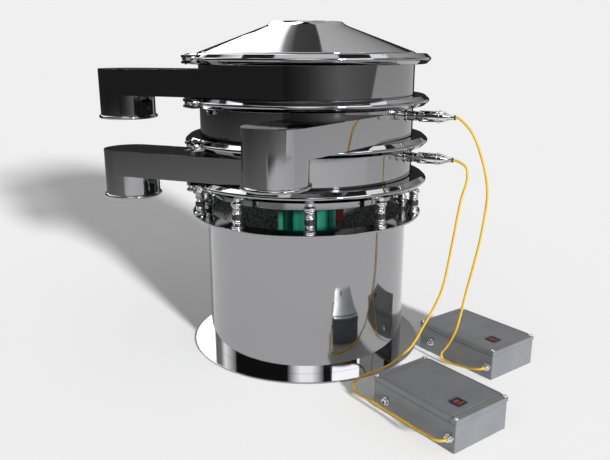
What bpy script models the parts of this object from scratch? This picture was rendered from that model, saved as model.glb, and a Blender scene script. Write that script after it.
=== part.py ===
"""Vibrating sieve with two decks, three tangential outlets and two ultrasonic drive units.

Metres, +Z up. The machine's axis is the Z axis and the floor is z = 0. The stack, from the
floor up: base plate, drum and spring ring, ten springs, vibrating chassis with its motor,
discharge dome, bottom frame, lower screen, middle frame, upper screen, top frame and lid.
"""

import math

import bmesh
import bpy
from mathutils import Matrix, Vector

# General
GAP = 0.0003
ROUND_SIDES = 32
FACET = math.cos(math.pi / ROUND_SIDES)
STEEL_WALL = 0.002
OVERCUT = 0.01
NEAR = 1e-5

# Sieve frames. The other round pieces take their radii from this one, by named steps
FRAME_RADIUS = 0.300
FLANGE_WIDTH = 0.025
FLANGE_RADIUS = FRAME_RADIUS + FLANGE_WIDTH
FLANGE_THICKNESS = 0.0045

# Chassis
CHASSIS_INSET = 0.029
CHASSIS_RADIUS = FRAME_RADIUS - CHASSIS_INSET
CHASSIS_WALL = 0.003

# Springs and their seats
SPRING_COUNT = 10
SPRING_FIRST_ANGLE = math.radians(-88.6)
SPRING_OFFSET = 0.0425
SPRING_CIRCLE = CHASSIS_RADIUS + SPRING_OFFSET
SPRING_MEAN_RADIUS = 0.0090
SPRING_WIRE = 0.0032
SPRING_TURNS = 4
SPRING_DEAD_TURNS = 0.75
SPRING_POINTS_PER_TURN = 6
SPRING_LENGTH = 0.0595
SEAT_RADIUS = 0.0155
SEAT_THICKNESS = 0.005
SEAT_SIDES = 8
UPPER_SEAT_THICKNESS = 0.004
UPPER_SEAT_TAPER = 0.004
UPPER_SEAT_NECK = 0.0085
SEAT_ARM_WIDTH = 0.014
SEAT_ARM_HEIGHT = 0.009
SEAT_ARM_DROP = 0.001
SEAT_ARM_ROOT = 0.002
SEAT_TO_CLAMP = 0.0015

# Base
DRUM_INSET = 0.025
DRUM_RADIUS = SPRING_CIRCLE - DRUM_INSET
DRUM_WALL = 0.003
PLATE_BRIM = 0.0485
PLATE_RADIUS = DRUM_RADIUS + PLATE_BRIM
PLATE_THICKNESS = 0.005
SPRING_RING_TOP = 0.401
SPRING_RING_THICKNESS = 0.006
SPRING_RING_OUTER = SPRING_CIRCLE + SEAT_RADIUS + 0.001
SPRING_RING_LAP = 0.0085
SPRING_RING_INNER = DRUM_RADIUS - DRUM_WALL - SPRING_RING_LAP

# Heights of the clamped joints between the stacked pieces
CHASSIS_RISE = 0.0313
LOWEST_JOINT_HEIGHT = SPRING_RING_TOP + SEAT_THICKNESS + SPRING_LENGTH + CHASSIS_RISE
JOINT_PITCH = 0.1092
SEAL_THICKNESS = 0.010
FLANGE_START = SEAL_THICKNESS / 2 + GAP
FLANGE_END = FLANGE_START + FLANGE_THICKNESS
FRAME_HALF_HEIGHT = JOINT_PITCH / 2 - FLANGE_START
CHASSIS_DEPTH = 0.0448
CHASSIS_FLOOR = LOWEST_JOINT_HEIGHT - CHASSIS_DEPTH
CHASSIS_FLOOR_THICKNESS = 0.006

# Clamp rings and their closures
CLAMP_SIDE_ROOM = 0.004
CLAMP_CAVITY_RADIUS = FLANGE_RADIUS + CLAMP_SIDE_ROOM
CLAMP_SHOULDER_RADIUS = CLAMP_CAVITY_RADIUS + 0.002
CLAMP_NOSE_DEPTH = 0.0114
CLAMP_NOSE_WALL = 0.0034
CLAMP_RADIUS = CLAMP_SHOULDER_RADIUS + CLAMP_NOSE_DEPTH
CLAMP_NOSE_HALF = 0.004
CLAMP_LIP_ROOM = 0.0055
CLAMP_LIP_RADIUS = FRAME_RADIUS + CLAMP_LIP_ROOM
CLAMP_LIP_THICKNESS = 0.0036
CLAMP_LIP_FALL = 0.0011
CLAMP_ANGLE = math.radians(213.75)
SPLIT_WIDTH = 0.012
BOLT_RADIUS = 0.003
PIN_RADIUS = 0.003
PIN_REACH = 0.0015
EYE_RADIUS = PIN_RADIUS + 0.005
EYE_HALF_THICKNESS = 0.0041
EYE_SIDES = 12
EYE_ROOM = 0.001
SHANK_ROOT = 0.0025
LUG_ROOT = CLAMP_CAVITY_RADIUS + 0.004
BOLT_CIRCLE = LUG_ROOT + EYE_RADIUS + 0.013
LUG_REACH = 0.0105
LUG_HALF_HEIGHT = 0.0115
LUG_LENGTH = 0.018
LUG_SPACING = 0.020
PIN_SHIFT = 0.002
SEAT_ARC_STEPS = 4
NUT_RADIUS = BOLT_RADIUS + 0.0035
NUT_THICKNESS = 0.0065
WASHER_RADIUS = NUT_RADIUS + 0.001
WASHER_THICKNESS = 0.0015
BOLT_TAIL = 0.005

# Outlets. The duct lies between the two flanges of its frame
DUCT_TOP_MARGIN = 0.0163
DUCT_BOTTOM_MARGIN = 0.0050
DUCT_TOP = FRAME_HALF_HEIGHT - FLANGE_THICKNESS - DUCT_TOP_MARGIN
DUCT_BOTTOM = FLANGE_THICKNESS + DUCT_BOTTOM_MARGIN - FRAME_HALF_HEIGHT
SPOUT_LENGTH = 0.0652
SPOUT_END = DUCT_BOTTOM - SPOUT_LENGTH
SPOUT_RADIUS = 0.0737
SPOUT_REACH = 0.1436
SPOUT_DISTANCE = FRAME_RADIUS + SPOUT_REACH
SPOUT_SIDES = 20
BEAD_HEIGHT = 0.010
BEAD_WIDTH = 0.0053
OUTLET_ANGLES = {
    "bottom": math.radians(-22.5),
    "middle": math.radians(55.25),
    "top": math.radians(-22.5),
}

# Lid
LID_SKIRT = 0.0073
LID_CONE_RISE = 0.0747
LID_NECK_RADIUS = 0.0986
LID_NECK_RISE = 0.0049
LID_FILLET = 0.018
LID_FILLET_STEPS = 2

# Screens
SCREEN_RIM_INNER = FRAME_RADIUS - STEEL_WALL
SPOKE_WIDTH = 0.012
SPOKE_TOP = 0.001
SPOKE_ROOT = 0.006
SONIC_RING_RADIUS = 0.130
SONIC_RING_WIDTH = 0.010
HUB_RADIUS = 0.032
MESH_THICKNESS = 0.001
MESH_ROOM = 0.0005

# Discharge dome
DOME_HEIGHT = 0.034
DOME_STEPS = 4

# Motor
SHAFT_RADIUS = 0.0125
WEIGHT_RADIUS = 0.085
WEIGHT_THICKNESS = 0.018
WEIGHT_HUB = SHAFT_RADIUS + 0.0135
WEIGHT_CLEARANCE = 0.012
WEIGHT_STEPS = 8
LOWER_WEIGHT_LEAD = math.radians(45)
CHASSIS_HOLE_RADIUS = WEIGHT_RADIUS + 0.007
MOTOR_BORE = 0.046
MOTOR_WALL = 0.030
MOTOR_RADIUS = MOTOR_BORE + MOTOR_WALL
MOTOR_SIDES = 24
MOTOR_LENGTH = 0.1897
MOTOR_BOTTOM = CHASSIS_FLOOR - GAP - MOTOR_LENGTH
MOTOR_FLANGE_LAP = 0.020
MOTOR_FLANGE_RADIUS = CHASSIS_HOLE_RADIUS + MOTOR_FLANGE_LAP
MOTOR_FLANGE_THICKNESS = 0.008
MOTOR_RIBS = 8
MOTOR_RIB_HEIGHT = 0.007
MOTOR_RIB_WIDTH = 0.009
MOTOR_RIB_INSET = 0.012
MOTOR_RIB_ROOT = 0.004
BELL_THICKNESS = 0.020
BELL_ROUND = 0.012
BEARING_LENGTH = 0.018
ROTOR_RADIUS = MOTOR_BORE - 0.003
ROTOR_LENGTH = 0.100
SHAFT_TAIL = 0.006
TERMINAL_BOX_SIZE = (0.028, 0.052, 0.036)
TERMINAL_BOX_DROP = 0.0467
TERMINAL_PAD_RISE = 0.004
TERMINAL_PAD_ROOT = 0.008
TERMINAL_PAD_INSET = 0.006

# Ultrasonic drive
TRANSDUCER_RADIUS = HUB_RADIUS - 0.002
TRANSDUCER_LENGTH = 0.050
TRANSDUCER_BEVEL = 0.006
TRANSDUCER_SIDES = 16
SOCKET_ANGLE = math.radians(-28.125)
SOCKET_RISE = 0.019
SOCKET_BARREL = 0.0102
SOCKET_FLANGE_RADIUS = SOCKET_BARREL + 0.0053
SOCKET_FLANGE_THICKNESS = 0.0035
SOCKET_NUT_RADIUS = SOCKET_BARREL + 0.0033
SOCKET_NUT_THICKNESS = 0.0035
SOCKET_NUT_ROOM = 0.002
SOCKET_SLEEVE_RADIUS = SOCKET_BARREL + 0.0018
SOCKET_REACH = 0.035
SOCKET_FACE = FRAME_RADIUS + SOCKET_REACH
CONDUIT_RADIUS = 0.005
PLUG_RADIUS = 0.0150
PLUG_BARREL = 0.0512
PLUG_RING_RISE = 0.0018
PLUG_RING_WIDTH = 0.005
PLUG_CAP_STEP = 0.001
PLUG_CAP_LENGTH = 0.0235
PLUG_CONE_LENGTH = 0.004
PLUG_NECK_RADIUS = 0.0075
PLUG_TIP_RADIUS = 0.0060
PLUG_NECK_LENGTH = 0.012
PLUG_SIDES = 12
PLUG_LENGTH = PLUG_BARREL + PLUG_RING_WIDTH + PLUG_CAP_LENGTH + PLUG_CONE_LENGTH + PLUG_NECK_LENGTH
PLUG_END = SOCKET_FACE + GAP + PLUG_LENGTH

# Generators
GENERATOR_LENGTH = 0.262
GENERATOR_WIDTH = 0.177
GENERATOR_HEIGHT = 0.0837
GENERATOR_LID_DEPTH = 0.0137
GENERATOR_SPLIT = GENERATOR_HEIGHT - GENERATOR_LID_DEPTH
GENERATOR_WALL = 0.003
LID_OVERHANG = 0.0015
LID_END_STRIP = 0.020
LID_END_STEP = 0.0015
GENERATORS = {
    "front": (Vector((0.3118, -0.4978, 0)), math.radians(-53.4)),
    "rear": (Vector((0.4810, -0.1610, 0)), math.radians(-53.15)),
}
GLAND_HEIGHT = 0.036
CABLE_GLAND_INSET = 0.015
SPARE_GLAND_INSET = 0.050
CABLE_GLAND_OFFSET = GENERATOR_LENGTH / 2 - CABLE_GLAND_INSET
SPARE_GLAND_OFFSET = SPARE_GLAND_INSET - GENERATOR_LENGTH / 2
GLAND_SHANK = 0.006
GLAND_NUT = GLAND_SHANK + 0.004
GLAND_NUT_LENGTH = 0.0065
GLAND_DOME_LENGTH = 0.0075
GLAND_SHOULDER = 0.0020
GLAND_TIP = 0.0055
GLAND_REACH = GLAND_NUT_LENGTH + GLAND_DOME_LENGTH
LOCKNUT_THICKNESS = 0.004
LOCKNUT_STEP = 0.001
GLAND_SIDES = 10
SWITCH_INSET = (0.050, 0.0625)
SWITCH_OFFSET = (GENERATOR_LENGTH / 2 - SWITCH_INSET[0], SWITCH_INSET[1] - GENERATOR_WIDTH / 2)
SWITCH_BODY = (0.026, 0.027)
SWITCH_RIM = 0.002
SWITCH_DEPTH = 0.014
SWITCH_FLANGE = 0.0025
SWITCH_FLOOR = 0.003
ROCKER_SIZE = (0.018, 0.018)
ROCKER_ROOM = 0.0008
ROCKER_TILT = math.radians(8)
ROCKER_THICKNESS = 0.007
ROCKER_EAR = 0.0030
ROCKER_DIP = 0.0012
ROCKER_KEEL = 0.4

# Cables, by points chosen by hand between the plug and the gland
CABLE_RADIUS = 0.00325
CABLE_STEP = 0.0148
CABLE_LEAD = 0.006
ROUTE_PARTS = 24
CABLE_ROUTES = {
    "upper": (
        (0.4195, -0.2240, 0.6440),
        (0.4510, -0.2290, 0.5690),
        (0.4650, -0.2320, 0.5094),
        (0.4673, -0.2330, 0.4731),
        (0.4560, -0.2330, 0.3600),
        (0.4303, -0.2320, 0.2226),
        (0.4056, -0.2488, 0.1200),
        (0.3948, -0.2344, 0.0769),
        (0.3855, -0.2220, 0.0500),
        (0.3781, -0.2121, 0.0320),
        (0.3767, -0.2102, 0.0250),
        (0.3789, -0.2132, 0.0160),
        (0.3851, -0.2215, 0.0115),
        (0.3966, -0.2368, 0.0120),
        (0.4198, -0.2694, 0.0185),
        (0.4372, -0.3001, 0.0275),
        (0.4459, -0.3135, 0.0325),
        (0.4565, -0.3193, 0.0350),
    ),
    "lower": (
        (0.4095, -0.2240, 0.5560),
        (0.4140, -0.2280, 0.5260),
        (0.4007, -0.2310, 0.4724),
        (0.3830, -0.2350, 0.3500),
        (0.3595, -0.2400, 0.2193),
        (0.3119, -0.2620, 0.1295),
        (0.2806, -0.2780, 0.0813),
        (0.2525, -0.2900, 0.0591),
        (0.2175, -0.3050, 0.0385),
        (0.1684, -0.3250, 0.0266),
        (0.1371, -0.3400, 0.0197),
        (0.1206, -0.3650, 0.0163),
        (0.1267, -0.3950, 0.0093),
        (0.1583, -0.4697, 0.0255),
        (0.1780, -0.4963, 0.0238),
        (0.2006, -0.5284, 0.0250),
        (0.2384, -0.5827, 0.0258),
        (0.2656, -0.6318, 0.0330),
        (0.2761, -0.6501, 0.0350),
        (0.2867, -0.6560, 0.0358),
    ),
}

FINISHES = {
    "polished_steel": ((0.60, 0.60, 0.61), 0.08, 1.0),
    "spring_steel": ((0.72, 0.72, 0.73), 0.18, 1.0),
    "green_paint": ((0.01, 0.16, 0.10), 0.40, 0.0),
    "red_paint": ((0.20, 0.01, 0.01), 0.45, 0.0),
    "cast_iron": ((0.12, 0.12, 0.13), 0.60, 0.8),
    "grey_paint": ((0.18, 0.19, 0.20), 0.40, 0.0),
    "black_plastic": ((0.01, 0.01, 0.01), 0.45, 0.0),
    "red_plastic": ((0.30, 0.02, 0.02), 0.40, 0.0),
    "yellow_cable": ((0.85, 0.55, 0.02), 0.45, 0.0),
    "nickel": ((0.75, 0.75, 0.76), 0.15, 1.0),
}


def joint_height(index):
    """Height of a clamped joint: 0 is the chassis joint and 3 is the lid joint."""
    return LOWEST_JOINT_HEIGHT + index * JOINT_PITCH


def frame_height(index):
    """Height of the middle of a sieve frame: 0 bottom, 1 middle, 2 top."""
    return joint_height(index) + JOINT_PITCH / 2


def finish(name):
    material = bpy.data.materials.get(name)
    if material is None:
        colour, roughness, metallic = FINISHES[name]
        material = bpy.data.materials.new(name)
        material.use_nodes = True
        shader = material.node_tree.nodes["Principled BSDF"]
        shader.inputs["Base Color"].default_value = (*colour, 1)
        shader.inputs["Roughness"].default_value = roughness
        shader.inputs["Metallic"].default_value = metallic
    return material


def add_object(name, data, finish_name, matrix=None):
    """Links an object and gives it its finish, on a mesh or a curve of its own."""
    piece = bpy.data.objects.new(name, data)
    bpy.context.scene.collection.objects.link(piece)
    if not data.materials:
        data.materials.append(finish(finish_name))
    if matrix is not None:
        piece.matrix_world = matrix
    return piece


def shade_round(mesh, angle=math.radians(32)):
    """Smooth shading with sharp edges where two faces meet at more than the angle."""
    mesh.polygons.foreach_set("use_smooth", [True] * len(mesh.polygons))
    mesh.set_sharp_from_angle(angle=angle)


def mesh_from(bm, name="shape"):
    bmesh.ops.remove_doubles(bm, verts=bm.verts, dist=1e-6)
    bmesh.ops.recalc_face_normals(bm, faces=bm.faces)
    mesh = bpy.data.meshes.new(name)
    bm.to_mesh(mesh)
    bm.free()
    shade_round(mesh)
    return mesh


def turned(outline, sides=ROUND_SIDES, axis="Z"):
    """Spins an outline of (radius, height) about an axis. An outline that starts on the axis
    stays open there, and any other one is closed into a ring section."""
    bm = bmesh.new()
    start = Matrix.Rotation(math.pi / sides, 3, "Z")
    verts = [bm.verts.new(start @ Vector((radius, 0, height))) for radius, height in outline]
    edges = [bm.edges.new(pair) for pair in zip(verts, verts[1:])]
    if outline[0][0] > 0:
        edges.append(bm.edges.new((verts[-1], verts[0])))
    bmesh.ops.spin(bm, geom=verts + edges, cent=(0, 0, 0), axis=(0, 0, 1),
                   angle=math.tau, steps=sides, use_merge=True)
    if axis == "X":
        bmesh.ops.transform(bm, matrix=Matrix.Rotation(math.pi / 2, 4, "Y"), verts=bm.verts)
    if axis == "Y":
        bmesh.ops.transform(bm, matrix=Matrix.Rotation(-math.pi / 2, 4, "X"), verts=bm.verts)
    return mesh_from(bm)


def rod(radius, low, high, sides=ROUND_SIDES, axis="Z"):
    return turned([(0, low), (radius, low), (radius, high), (0, high)], sides, axis)


def ring(inner, outer, low, high, sides=ROUND_SIDES):
    return turned([(inner, low), (outer, low), (outer, high), (inner, high)], sides)


def block(low, high):
    bm = bmesh.new()
    bmesh.ops.create_cube(bm, size=1)
    low, high = Vector(low), Vector(high)
    size = high - low
    bmesh.ops.scale(bm, vec=size, verts=bm.verts)
    bmesh.ops.translate(bm, vec=(low + high) / 2, verts=bm.verts)
    return mesh_from(bm)


def prism(points, low, high):
    """A flat outline of (x, y), raised from one height to another."""
    bm = bmesh.new()
    face = bm.faces.new([bm.verts.new((x, y, low)) for x, y in points])
    raised = bmesh.ops.extrude_face_region(bm, geom=[face])["geom"]
    tops = [part for part in raised if isinstance(part, bmesh.types.BMVert)]
    bmesh.ops.translate(bm, vec=(0, 0, high - low), verts=tops)
    return mesh_from(bm)


def moved(mesh, matrix):
    mesh.transform(matrix)
    return mesh


def combined(mesh, tool, operation):
    """Joins or cuts one mesh with another by an exact Boolean."""
    body = bpy.data.objects.new("body", mesh)
    cutter = bpy.data.objects.new("cutter", tool)
    for piece in (body, cutter):
        bpy.context.scene.collection.objects.link(piece)
    modifier = body.modifiers.new("boolean", "BOOLEAN")
    modifier.operation = operation
    modifier.solver = "EXACT"
    modifier.object = cutter
    graph = bpy.context.evaluated_depsgraph_get()
    result = bpy.data.meshes.new_from_object(body.evaluated_get(graph))
    for piece in (body, cutter):
        bpy.data.objects.remove(piece)
    bm = bmesh.new()
    bm.from_mesh(result)
    return mesh_from(bm)


def joined(mesh, tool):
    return combined(mesh, tool, "UNION")


def cut(mesh, tool):
    return combined(mesh, tool, "DIFFERENCE")


def turn(angle, height=0.0):
    return Matrix.Translation((0, 0, height)) @ Matrix.Rotation(angle, 4, "Z")


def spring_angles():
    return [SPRING_FIRST_ANGLE + math.tau * index / SPRING_COUNT for index in range(SPRING_COUNT)]


def build_base():
    add_object("base_plate", rod(PLATE_RADIUS, 0, PLATE_THICKNESS), "polished_steel")
    high = SPRING_RING_TOP - SPRING_RING_THICKNESS - GAP
    drum = ring(DRUM_RADIUS - DRUM_WALL, DRUM_RADIUS, PLATE_THICKNESS + GAP, high)
    add_object("base_drum", drum, "polished_steel")
    build_spring_ring()


def build_spring_ring():
    """The ring on the drum, with a round seat under each spring."""
    top = SPRING_RING_TOP
    mesh = ring(SPRING_RING_INNER, SPRING_RING_OUTER, top - SPRING_RING_THICKNESS, top)
    for angle in spring_angles():
        seat = rod(SEAT_RADIUS, top - SPRING_RING_THICKNESS / 2, top + SEAT_THICKNESS, SEAT_SIDES)
        place = turn(angle) @ Matrix.Translation((SPRING_CIRCLE, 0, 0))
        mesh = joined(mesh, moved(seat, place))
    add_object("spring_ring", mesh, "polished_steel")


def spring_bottom():
    return SPRING_RING_TOP + SEAT_THICKNESS


def spring_curve():
    """One coil spring along +Z, with its end turns laid flat on the seats."""
    curve = bpy.data.curves.new("spring", "CURVE")
    curve.dimensions = "3D"
    curve.bevel_depth = SPRING_WIRE / 2
    curve.bevel_resolution = 0
    curve.use_fill_caps = True
    steps = SPRING_TURNS * SPRING_POINTS_PER_TURN
    line = curve.splines.new("POLY")
    line.points.add(steps)
    low = GAP + SPRING_WIRE / 2
    high = SPRING_LENGTH - GAP - SPRING_WIRE / 2
    dead_turns = SPRING_DEAD_TURNS
    dead = (SPRING_WIRE + GAP) * dead_turns
    for step in range(steps + 1):
        turns = step * SPRING_TURNS / steps
        if turns < dead_turns:
            height = low + dead * turns / dead_turns
        elif turns > SPRING_TURNS - dead_turns:
            height = high - dead * (SPRING_TURNS - turns) / dead_turns
        else:
            share = (turns - dead_turns) / (SPRING_TURNS - 2 * dead_turns)
            height = low + dead + (high - low - 2 * dead) * share
        angle = math.tau * turns
        x = SPRING_MEAN_RADIUS * math.cos(angle)
        y = SPRING_MEAN_RADIUS * math.sin(angle)
        line.points[step].co = (x, y, height, 1)
    return curve


def build_springs():
    curve = spring_curve()
    for index, angle in enumerate(spring_angles(), start=1):
        place = turn(angle) @ Matrix.Translation((SPRING_CIRCLE, 0, spring_bottom()))
        add_object(f"spring_{index}", curve, "spring_steel", place)


def build_chassis():
    """The vibrating chassis: flange, wall, floor with the motor hole, and ten upper seats on
    short arms that pass under the lowest clamp ring."""
    joint = joint_height(0)
    under = joint - FLANGE_END
    inner = CHASSIS_RADIUS - CHASSIS_WALL
    floor_top = CHASSIS_FLOOR + CHASSIS_FLOOR_THICKNESS
    mesh = turned([
        (FLANGE_RADIUS, under), (FLANGE_RADIUS, joint - FLANGE_START),
        (inner, joint - FLANGE_START), (inner, floor_top), (CHASSIS_HOLE_RADIUS, floor_top),
        (CHASSIS_HOLE_RADIUS, CHASSIS_FLOOR), (CHASSIS_RADIUS, CHASSIS_FLOOR),
        (CHASSIS_RADIUS, under),
    ])
    seat_low = spring_bottom() + SPRING_LENGTH
    seat_high = joint - FLANGE_END - GAP - CLAMP_LIP_THICKNESS - SEAT_TO_CLAMP
    taper_low = seat_low + UPPER_SEAT_THICKNESS
    arm_high = seat_high - SEAT_ARM_DROP
    for angle in spring_angles():
        seat = turned([
            (0, seat_low), (SEAT_RADIUS, seat_low), (SEAT_RADIUS, taper_low),
            (UPPER_SEAT_NECK, taper_low + UPPER_SEAT_TAPER), (UPPER_SEAT_NECK, seat_high),
            (0, seat_high),
        ], SEAT_SIDES)
        arm = block((-SPRING_OFFSET - SEAT_ARM_ROOT, -SEAT_ARM_WIDTH / 2,
                     arm_high - SEAT_ARM_HEIGHT), (0, SEAT_ARM_WIDTH / 2, arm_high))
        place = turn(angle) @ Matrix.Translation((SPRING_CIRCLE, 0, 0))
        mesh = joined(mesh, moved(joined(seat, arm), place))
    add_object("chassis", mesh, "polished_steel")


def build_dome():
    """The domed floor of the bottom frame, whose thick rim lies in the lowest joint."""
    half = SEAL_THICKNESS / 2
    inner = SCREEN_RIM_INNER
    upper = []
    for step in range(DOME_STEPS + 1):
        share = step / DOME_STEPS
        upper.append((inner * share, half + (DOME_HEIGHT - half) * (1 - share ** 2)))
    lower = [(radius, height - STEEL_WALL) for radius, height in upper]
    rim = [(inner, -half), (FLANGE_RADIUS, -half), (FLANGE_RADIUS, half)]
    mesh = turned(lower + rim + upper[::-1])
    add_object("discharge_dome", mesh, "polished_steel", turn(0, joint_height(0)))


def outlet_shape(wall_plane, radius, low, high, end, bead):
    """The solid form of an outlet along -X: a flat duct whose front wall lies in the plane
    y = -wall_plane, with a half-round end over a round spout. With a bead the spout's end
    is thicker."""
    bm = bmesh.new()
    centre = Vector((-SPOUT_DISTANCE, radius - wall_plane, 0))
    angles = [math.tau * index / SPOUT_SIDES - math.pi / 2 for index in range(SPOUT_SIDES)]

    def circle(size, height):
        points = []
        for angle in angles:
            x = centre.x + size * math.cos(angle)
            y = centre.y + size * math.sin(angle)
            points.append(bm.verts.new((x, y, height)))
        return points

    def band(upper, lower):
        for index in range(SPOUT_SIDES):
            following = (index + 1) % SPOUT_SIDES
            bm.faces.new((upper[index], upper[following], lower[following], lower[index]))

    half = SPOUT_SIDES // 2
    mouth = circle(radius, low)
    outer_side = [mouth[index % SPOUT_SIDES] for index in range(SPOUT_SIDES, half - 1, -1)]
    inner_side = mouth[:half + 1]
    back = centre.y + radius
    start_low = [bm.verts.new((0, -wall_plane, low)), bm.verts.new((0, back, low))]
    bm.faces.new([start_low[0], *inner_side, start_low[1]])
    rim_low = [start_low[0], *outer_side, start_low[1]]
    rim_high = [bm.verts.new((vert.co.x, vert.co.y, high)) for vert in rim_low]
    bm.faces.new(rim_high)
    for index in range(len(rim_low)):
        following = (index + 1) % len(rim_low)
        bm.faces.new((rim_low[index], rim_low[following], rim_high[following], rim_high[index]))
    level = mouth
    if bead:
        for size, height in ((radius, end + BEAD_HEIGHT), (radius + BEAD_WIDTH, end + BEAD_HEIGHT),
                             (radius + BEAD_WIDTH, end)):
            following_level = circle(size, height)
            band(level, following_level)
            level = following_level
    else:
        following_level = circle(radius, end)
        band(level, following_level)
        level = following_level
    bm.faces.new(level)
    return mesh_from(bm)


def outlet_hollow():
    """The passage through an outlet. It starts inside the frame and runs out of the spout."""
    wall = STEEL_WALL * FACET
    return outlet_shape(FRAME_RADIUS * FACET - wall, SPOUT_RADIUS - wall,
                        DUCT_BOTTOM + STEEL_WALL, DUCT_TOP - STEEL_WALL,
                        SPOUT_END - OVERCUT, bead=False)


def outlet_mesh():
    """A tangential outlet that stands on the outside of its frame, around the frame's window."""
    mesh = outlet_shape(FRAME_RADIUS * FACET, SPOUT_RADIUS, DUCT_BOTTOM, DUCT_TOP, SPOUT_END,
                        bead=True)
    mesh = cut(mesh, outlet_hollow())
    return cut(mesh, rod(FRAME_RADIUS + GAP, SPOUT_END, DUCT_TOP + OVERCUT))


def frame_mesh(socket_angle=None):
    """A sieve frame with the window of its outlet, about the middle of its height. The socket's
    hole, where there is one, is at the given angle from +X."""
    top = FRAME_HALF_HEIGHT
    flange = top - FLANGE_THICKNESS
    bore = FRAME_RADIUS - STEEL_WALL
    mesh = turned([
        (bore, -top), (FLANGE_RADIUS, -top), (FLANGE_RADIUS, -flange), (FRAME_RADIUS, -flange),
        (FRAME_RADIUS, flange), (FLANGE_RADIUS, flange), (FLANGE_RADIUS, top), (bore, top),
    ])
    plane = bore * FACET
    for vert in mesh.vertices:
        if abs(vert.co.y + plane) < NEAR:
            vert.co.y = -plane
    mesh = cut(mesh, outlet_hollow())
    if socket_angle is not None:
        hole = rod(SOCKET_BARREL + GAP, FRAME_RADIUS - OVERCUT, FRAME_RADIUS + OVERCUT,
                   PLUG_SIDES, "X")
        place = turn(socket_angle, SOCKET_RISE)
        mesh = cut(mesh, moved(hole, place))
    return mesh


def build_frames():
    outlet = outlet_mesh()
    for index, (name, angle) in enumerate(OUTLET_ANGLES.items()):
        socket_angle = None
        if name != "top":
            socket_angle = SOCKET_ANGLE - angle
        place = turn(angle, frame_height(index))
        add_object(f"{name}_frame", frame_mesh(socket_angle), "polished_steel", place)
        add_object(f"{name}_outlet", outlet, "polished_steel", place)


def build_lid():
    """The conical lid, with the feed neck in its middle. The rim of its flange is turned down
    onto the top frame."""
    neck = LID_NECK_RADIUS
    bore = FRAME_RADIUS - STEEL_WALL
    rim = FLANGE_RADIUS - FLANGE_THICKNESS
    seat = -SEAL_THICKNESS / 2
    low = FLANGE_END + LID_SKIRT
    slope = LID_CONE_RISE / (FRAME_RADIUS - neck)
    drop = STEEL_WALL * math.sqrt(1 + slope ** 2)
    upper = []
    under = []
    for step in range(LID_FILLET_STEPS + 1):
        share = step / LID_FILLET_STEPS
        run = LID_FILLET * (1 - share)
        height = low + LID_CONE_RISE - slope * run + LID_NECK_RISE * share ** 2
        upper.append((neck + run, height))
        under.append((neck + run - STEEL_WALL * share, height - drop * (1 - share)))
    mesh = turned([
        (rim, seat), (FLANGE_RADIUS, seat), (FLANGE_RADIUS, FLANGE_END),
        (FRAME_RADIUS, FLANGE_END), (FRAME_RADIUS, low), *upper, *under[::-1],
        (bore, low - drop), (bore, FLANGE_START), (rim, FLANGE_START),
    ])
    add_object("lid", mesh, "polished_steel", turn(0, joint_height(3)))


def screen_frame_mesh():
    """A screen's rim with four spokes, the resonance ring and the hub of the transducer."""
    half = SEAL_THICKNESS / 2
    mesh = ring(SCREEN_RIM_INNER, FLANGE_RADIUS, -half, half)
    reach = SCREEN_RIM_INNER + SPOKE_ROOT
    width = SPOKE_WIDTH / 2
    bar = block((-reach, -width, 2 * GAP - half), (reach, width, SPOKE_TOP))
    cross = block((-width, -reach, GAP - half), (width, reach, SPOKE_TOP - GAP))
    cross = joined(bar, cross)
    inner = SONIC_RING_RADIUS - SONIC_RING_WIDTH / 2
    outer = SONIC_RING_RADIUS + SONIC_RING_WIDTH / 2
    cross = joined(cross, ring(inner, outer, 3 * GAP - half, SPOKE_TOP - 2 * GAP, 24))
    cross = joined(cross, rod(HUB_RADIUS, -half, SPOKE_TOP - 3 * GAP, TRANSDUCER_SIDES))
    return joined(mesh, cross)


def build_screens():
    frame = screen_frame_mesh()
    cloth_low = SPOKE_TOP + GAP
    cloth = rod(SCREEN_RIM_INNER - MESH_ROOM, cloth_low, cloth_low + MESH_THICKNESS)
    half = SEAL_THICKNESS / 2
    top = -half - GAP
    bottom = top - TRANSDUCER_LENGTH
    bevel = TRANSDUCER_BEVEL
    transducer = turned([
        (0, bottom), (TRANSDUCER_RADIUS - bevel, bottom), (TRANSDUCER_RADIUS, bottom + bevel),
        (TRANSDUCER_RADIUS, top - bevel), (HUB_RADIUS, top - bevel), (HUB_RADIUS, top), (0, top),
    ], TRANSDUCER_SIDES)
    for index, name in ((1, "lower"), (2, "upper")):
        place = turn(math.radians(45), joint_height(index))
        add_object(f"{name}_screen_frame", frame, "polished_steel", place)
        add_object(f"{name}_mesh", cloth, "spring_steel", turn(0, joint_height(index)))
        add_object(f"{name}_transducer", transducer, "polished_steel", place)


def clamp_section():
    lip = FLANGE_END + GAP
    outer_lip = lip + CLAMP_LIP_THICKNESS
    shoulder = outer_lip - CLAMP_LIP_FALL
    upper = [
        (CLAMP_RADIUS, CLAMP_NOSE_HALF), (CLAMP_SHOULDER_RADIUS, shoulder),
        (CLAMP_LIP_RADIUS, outer_lip), (CLAMP_LIP_RADIUS, lip), (CLAMP_CAVITY_RADIUS, lip),
    ]
    lower = [(radius, -height) for radius, height in reversed(upper)]
    return upper + [(CLAMP_RADIUS - CLAMP_NOSE_WALL, 0)] + lower


def bolt_pin():
    """Distance of the closure's pin from the middle of the split."""
    return LUG_SPACING / 2 + LUG_LENGTH / 2 + PIN_SHIFT


def bolt_seat():
    """Distance from the pin to the face that the nut bears on."""
    return bolt_pin() + LUG_SPACING / 2 + LUG_LENGTH


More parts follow.
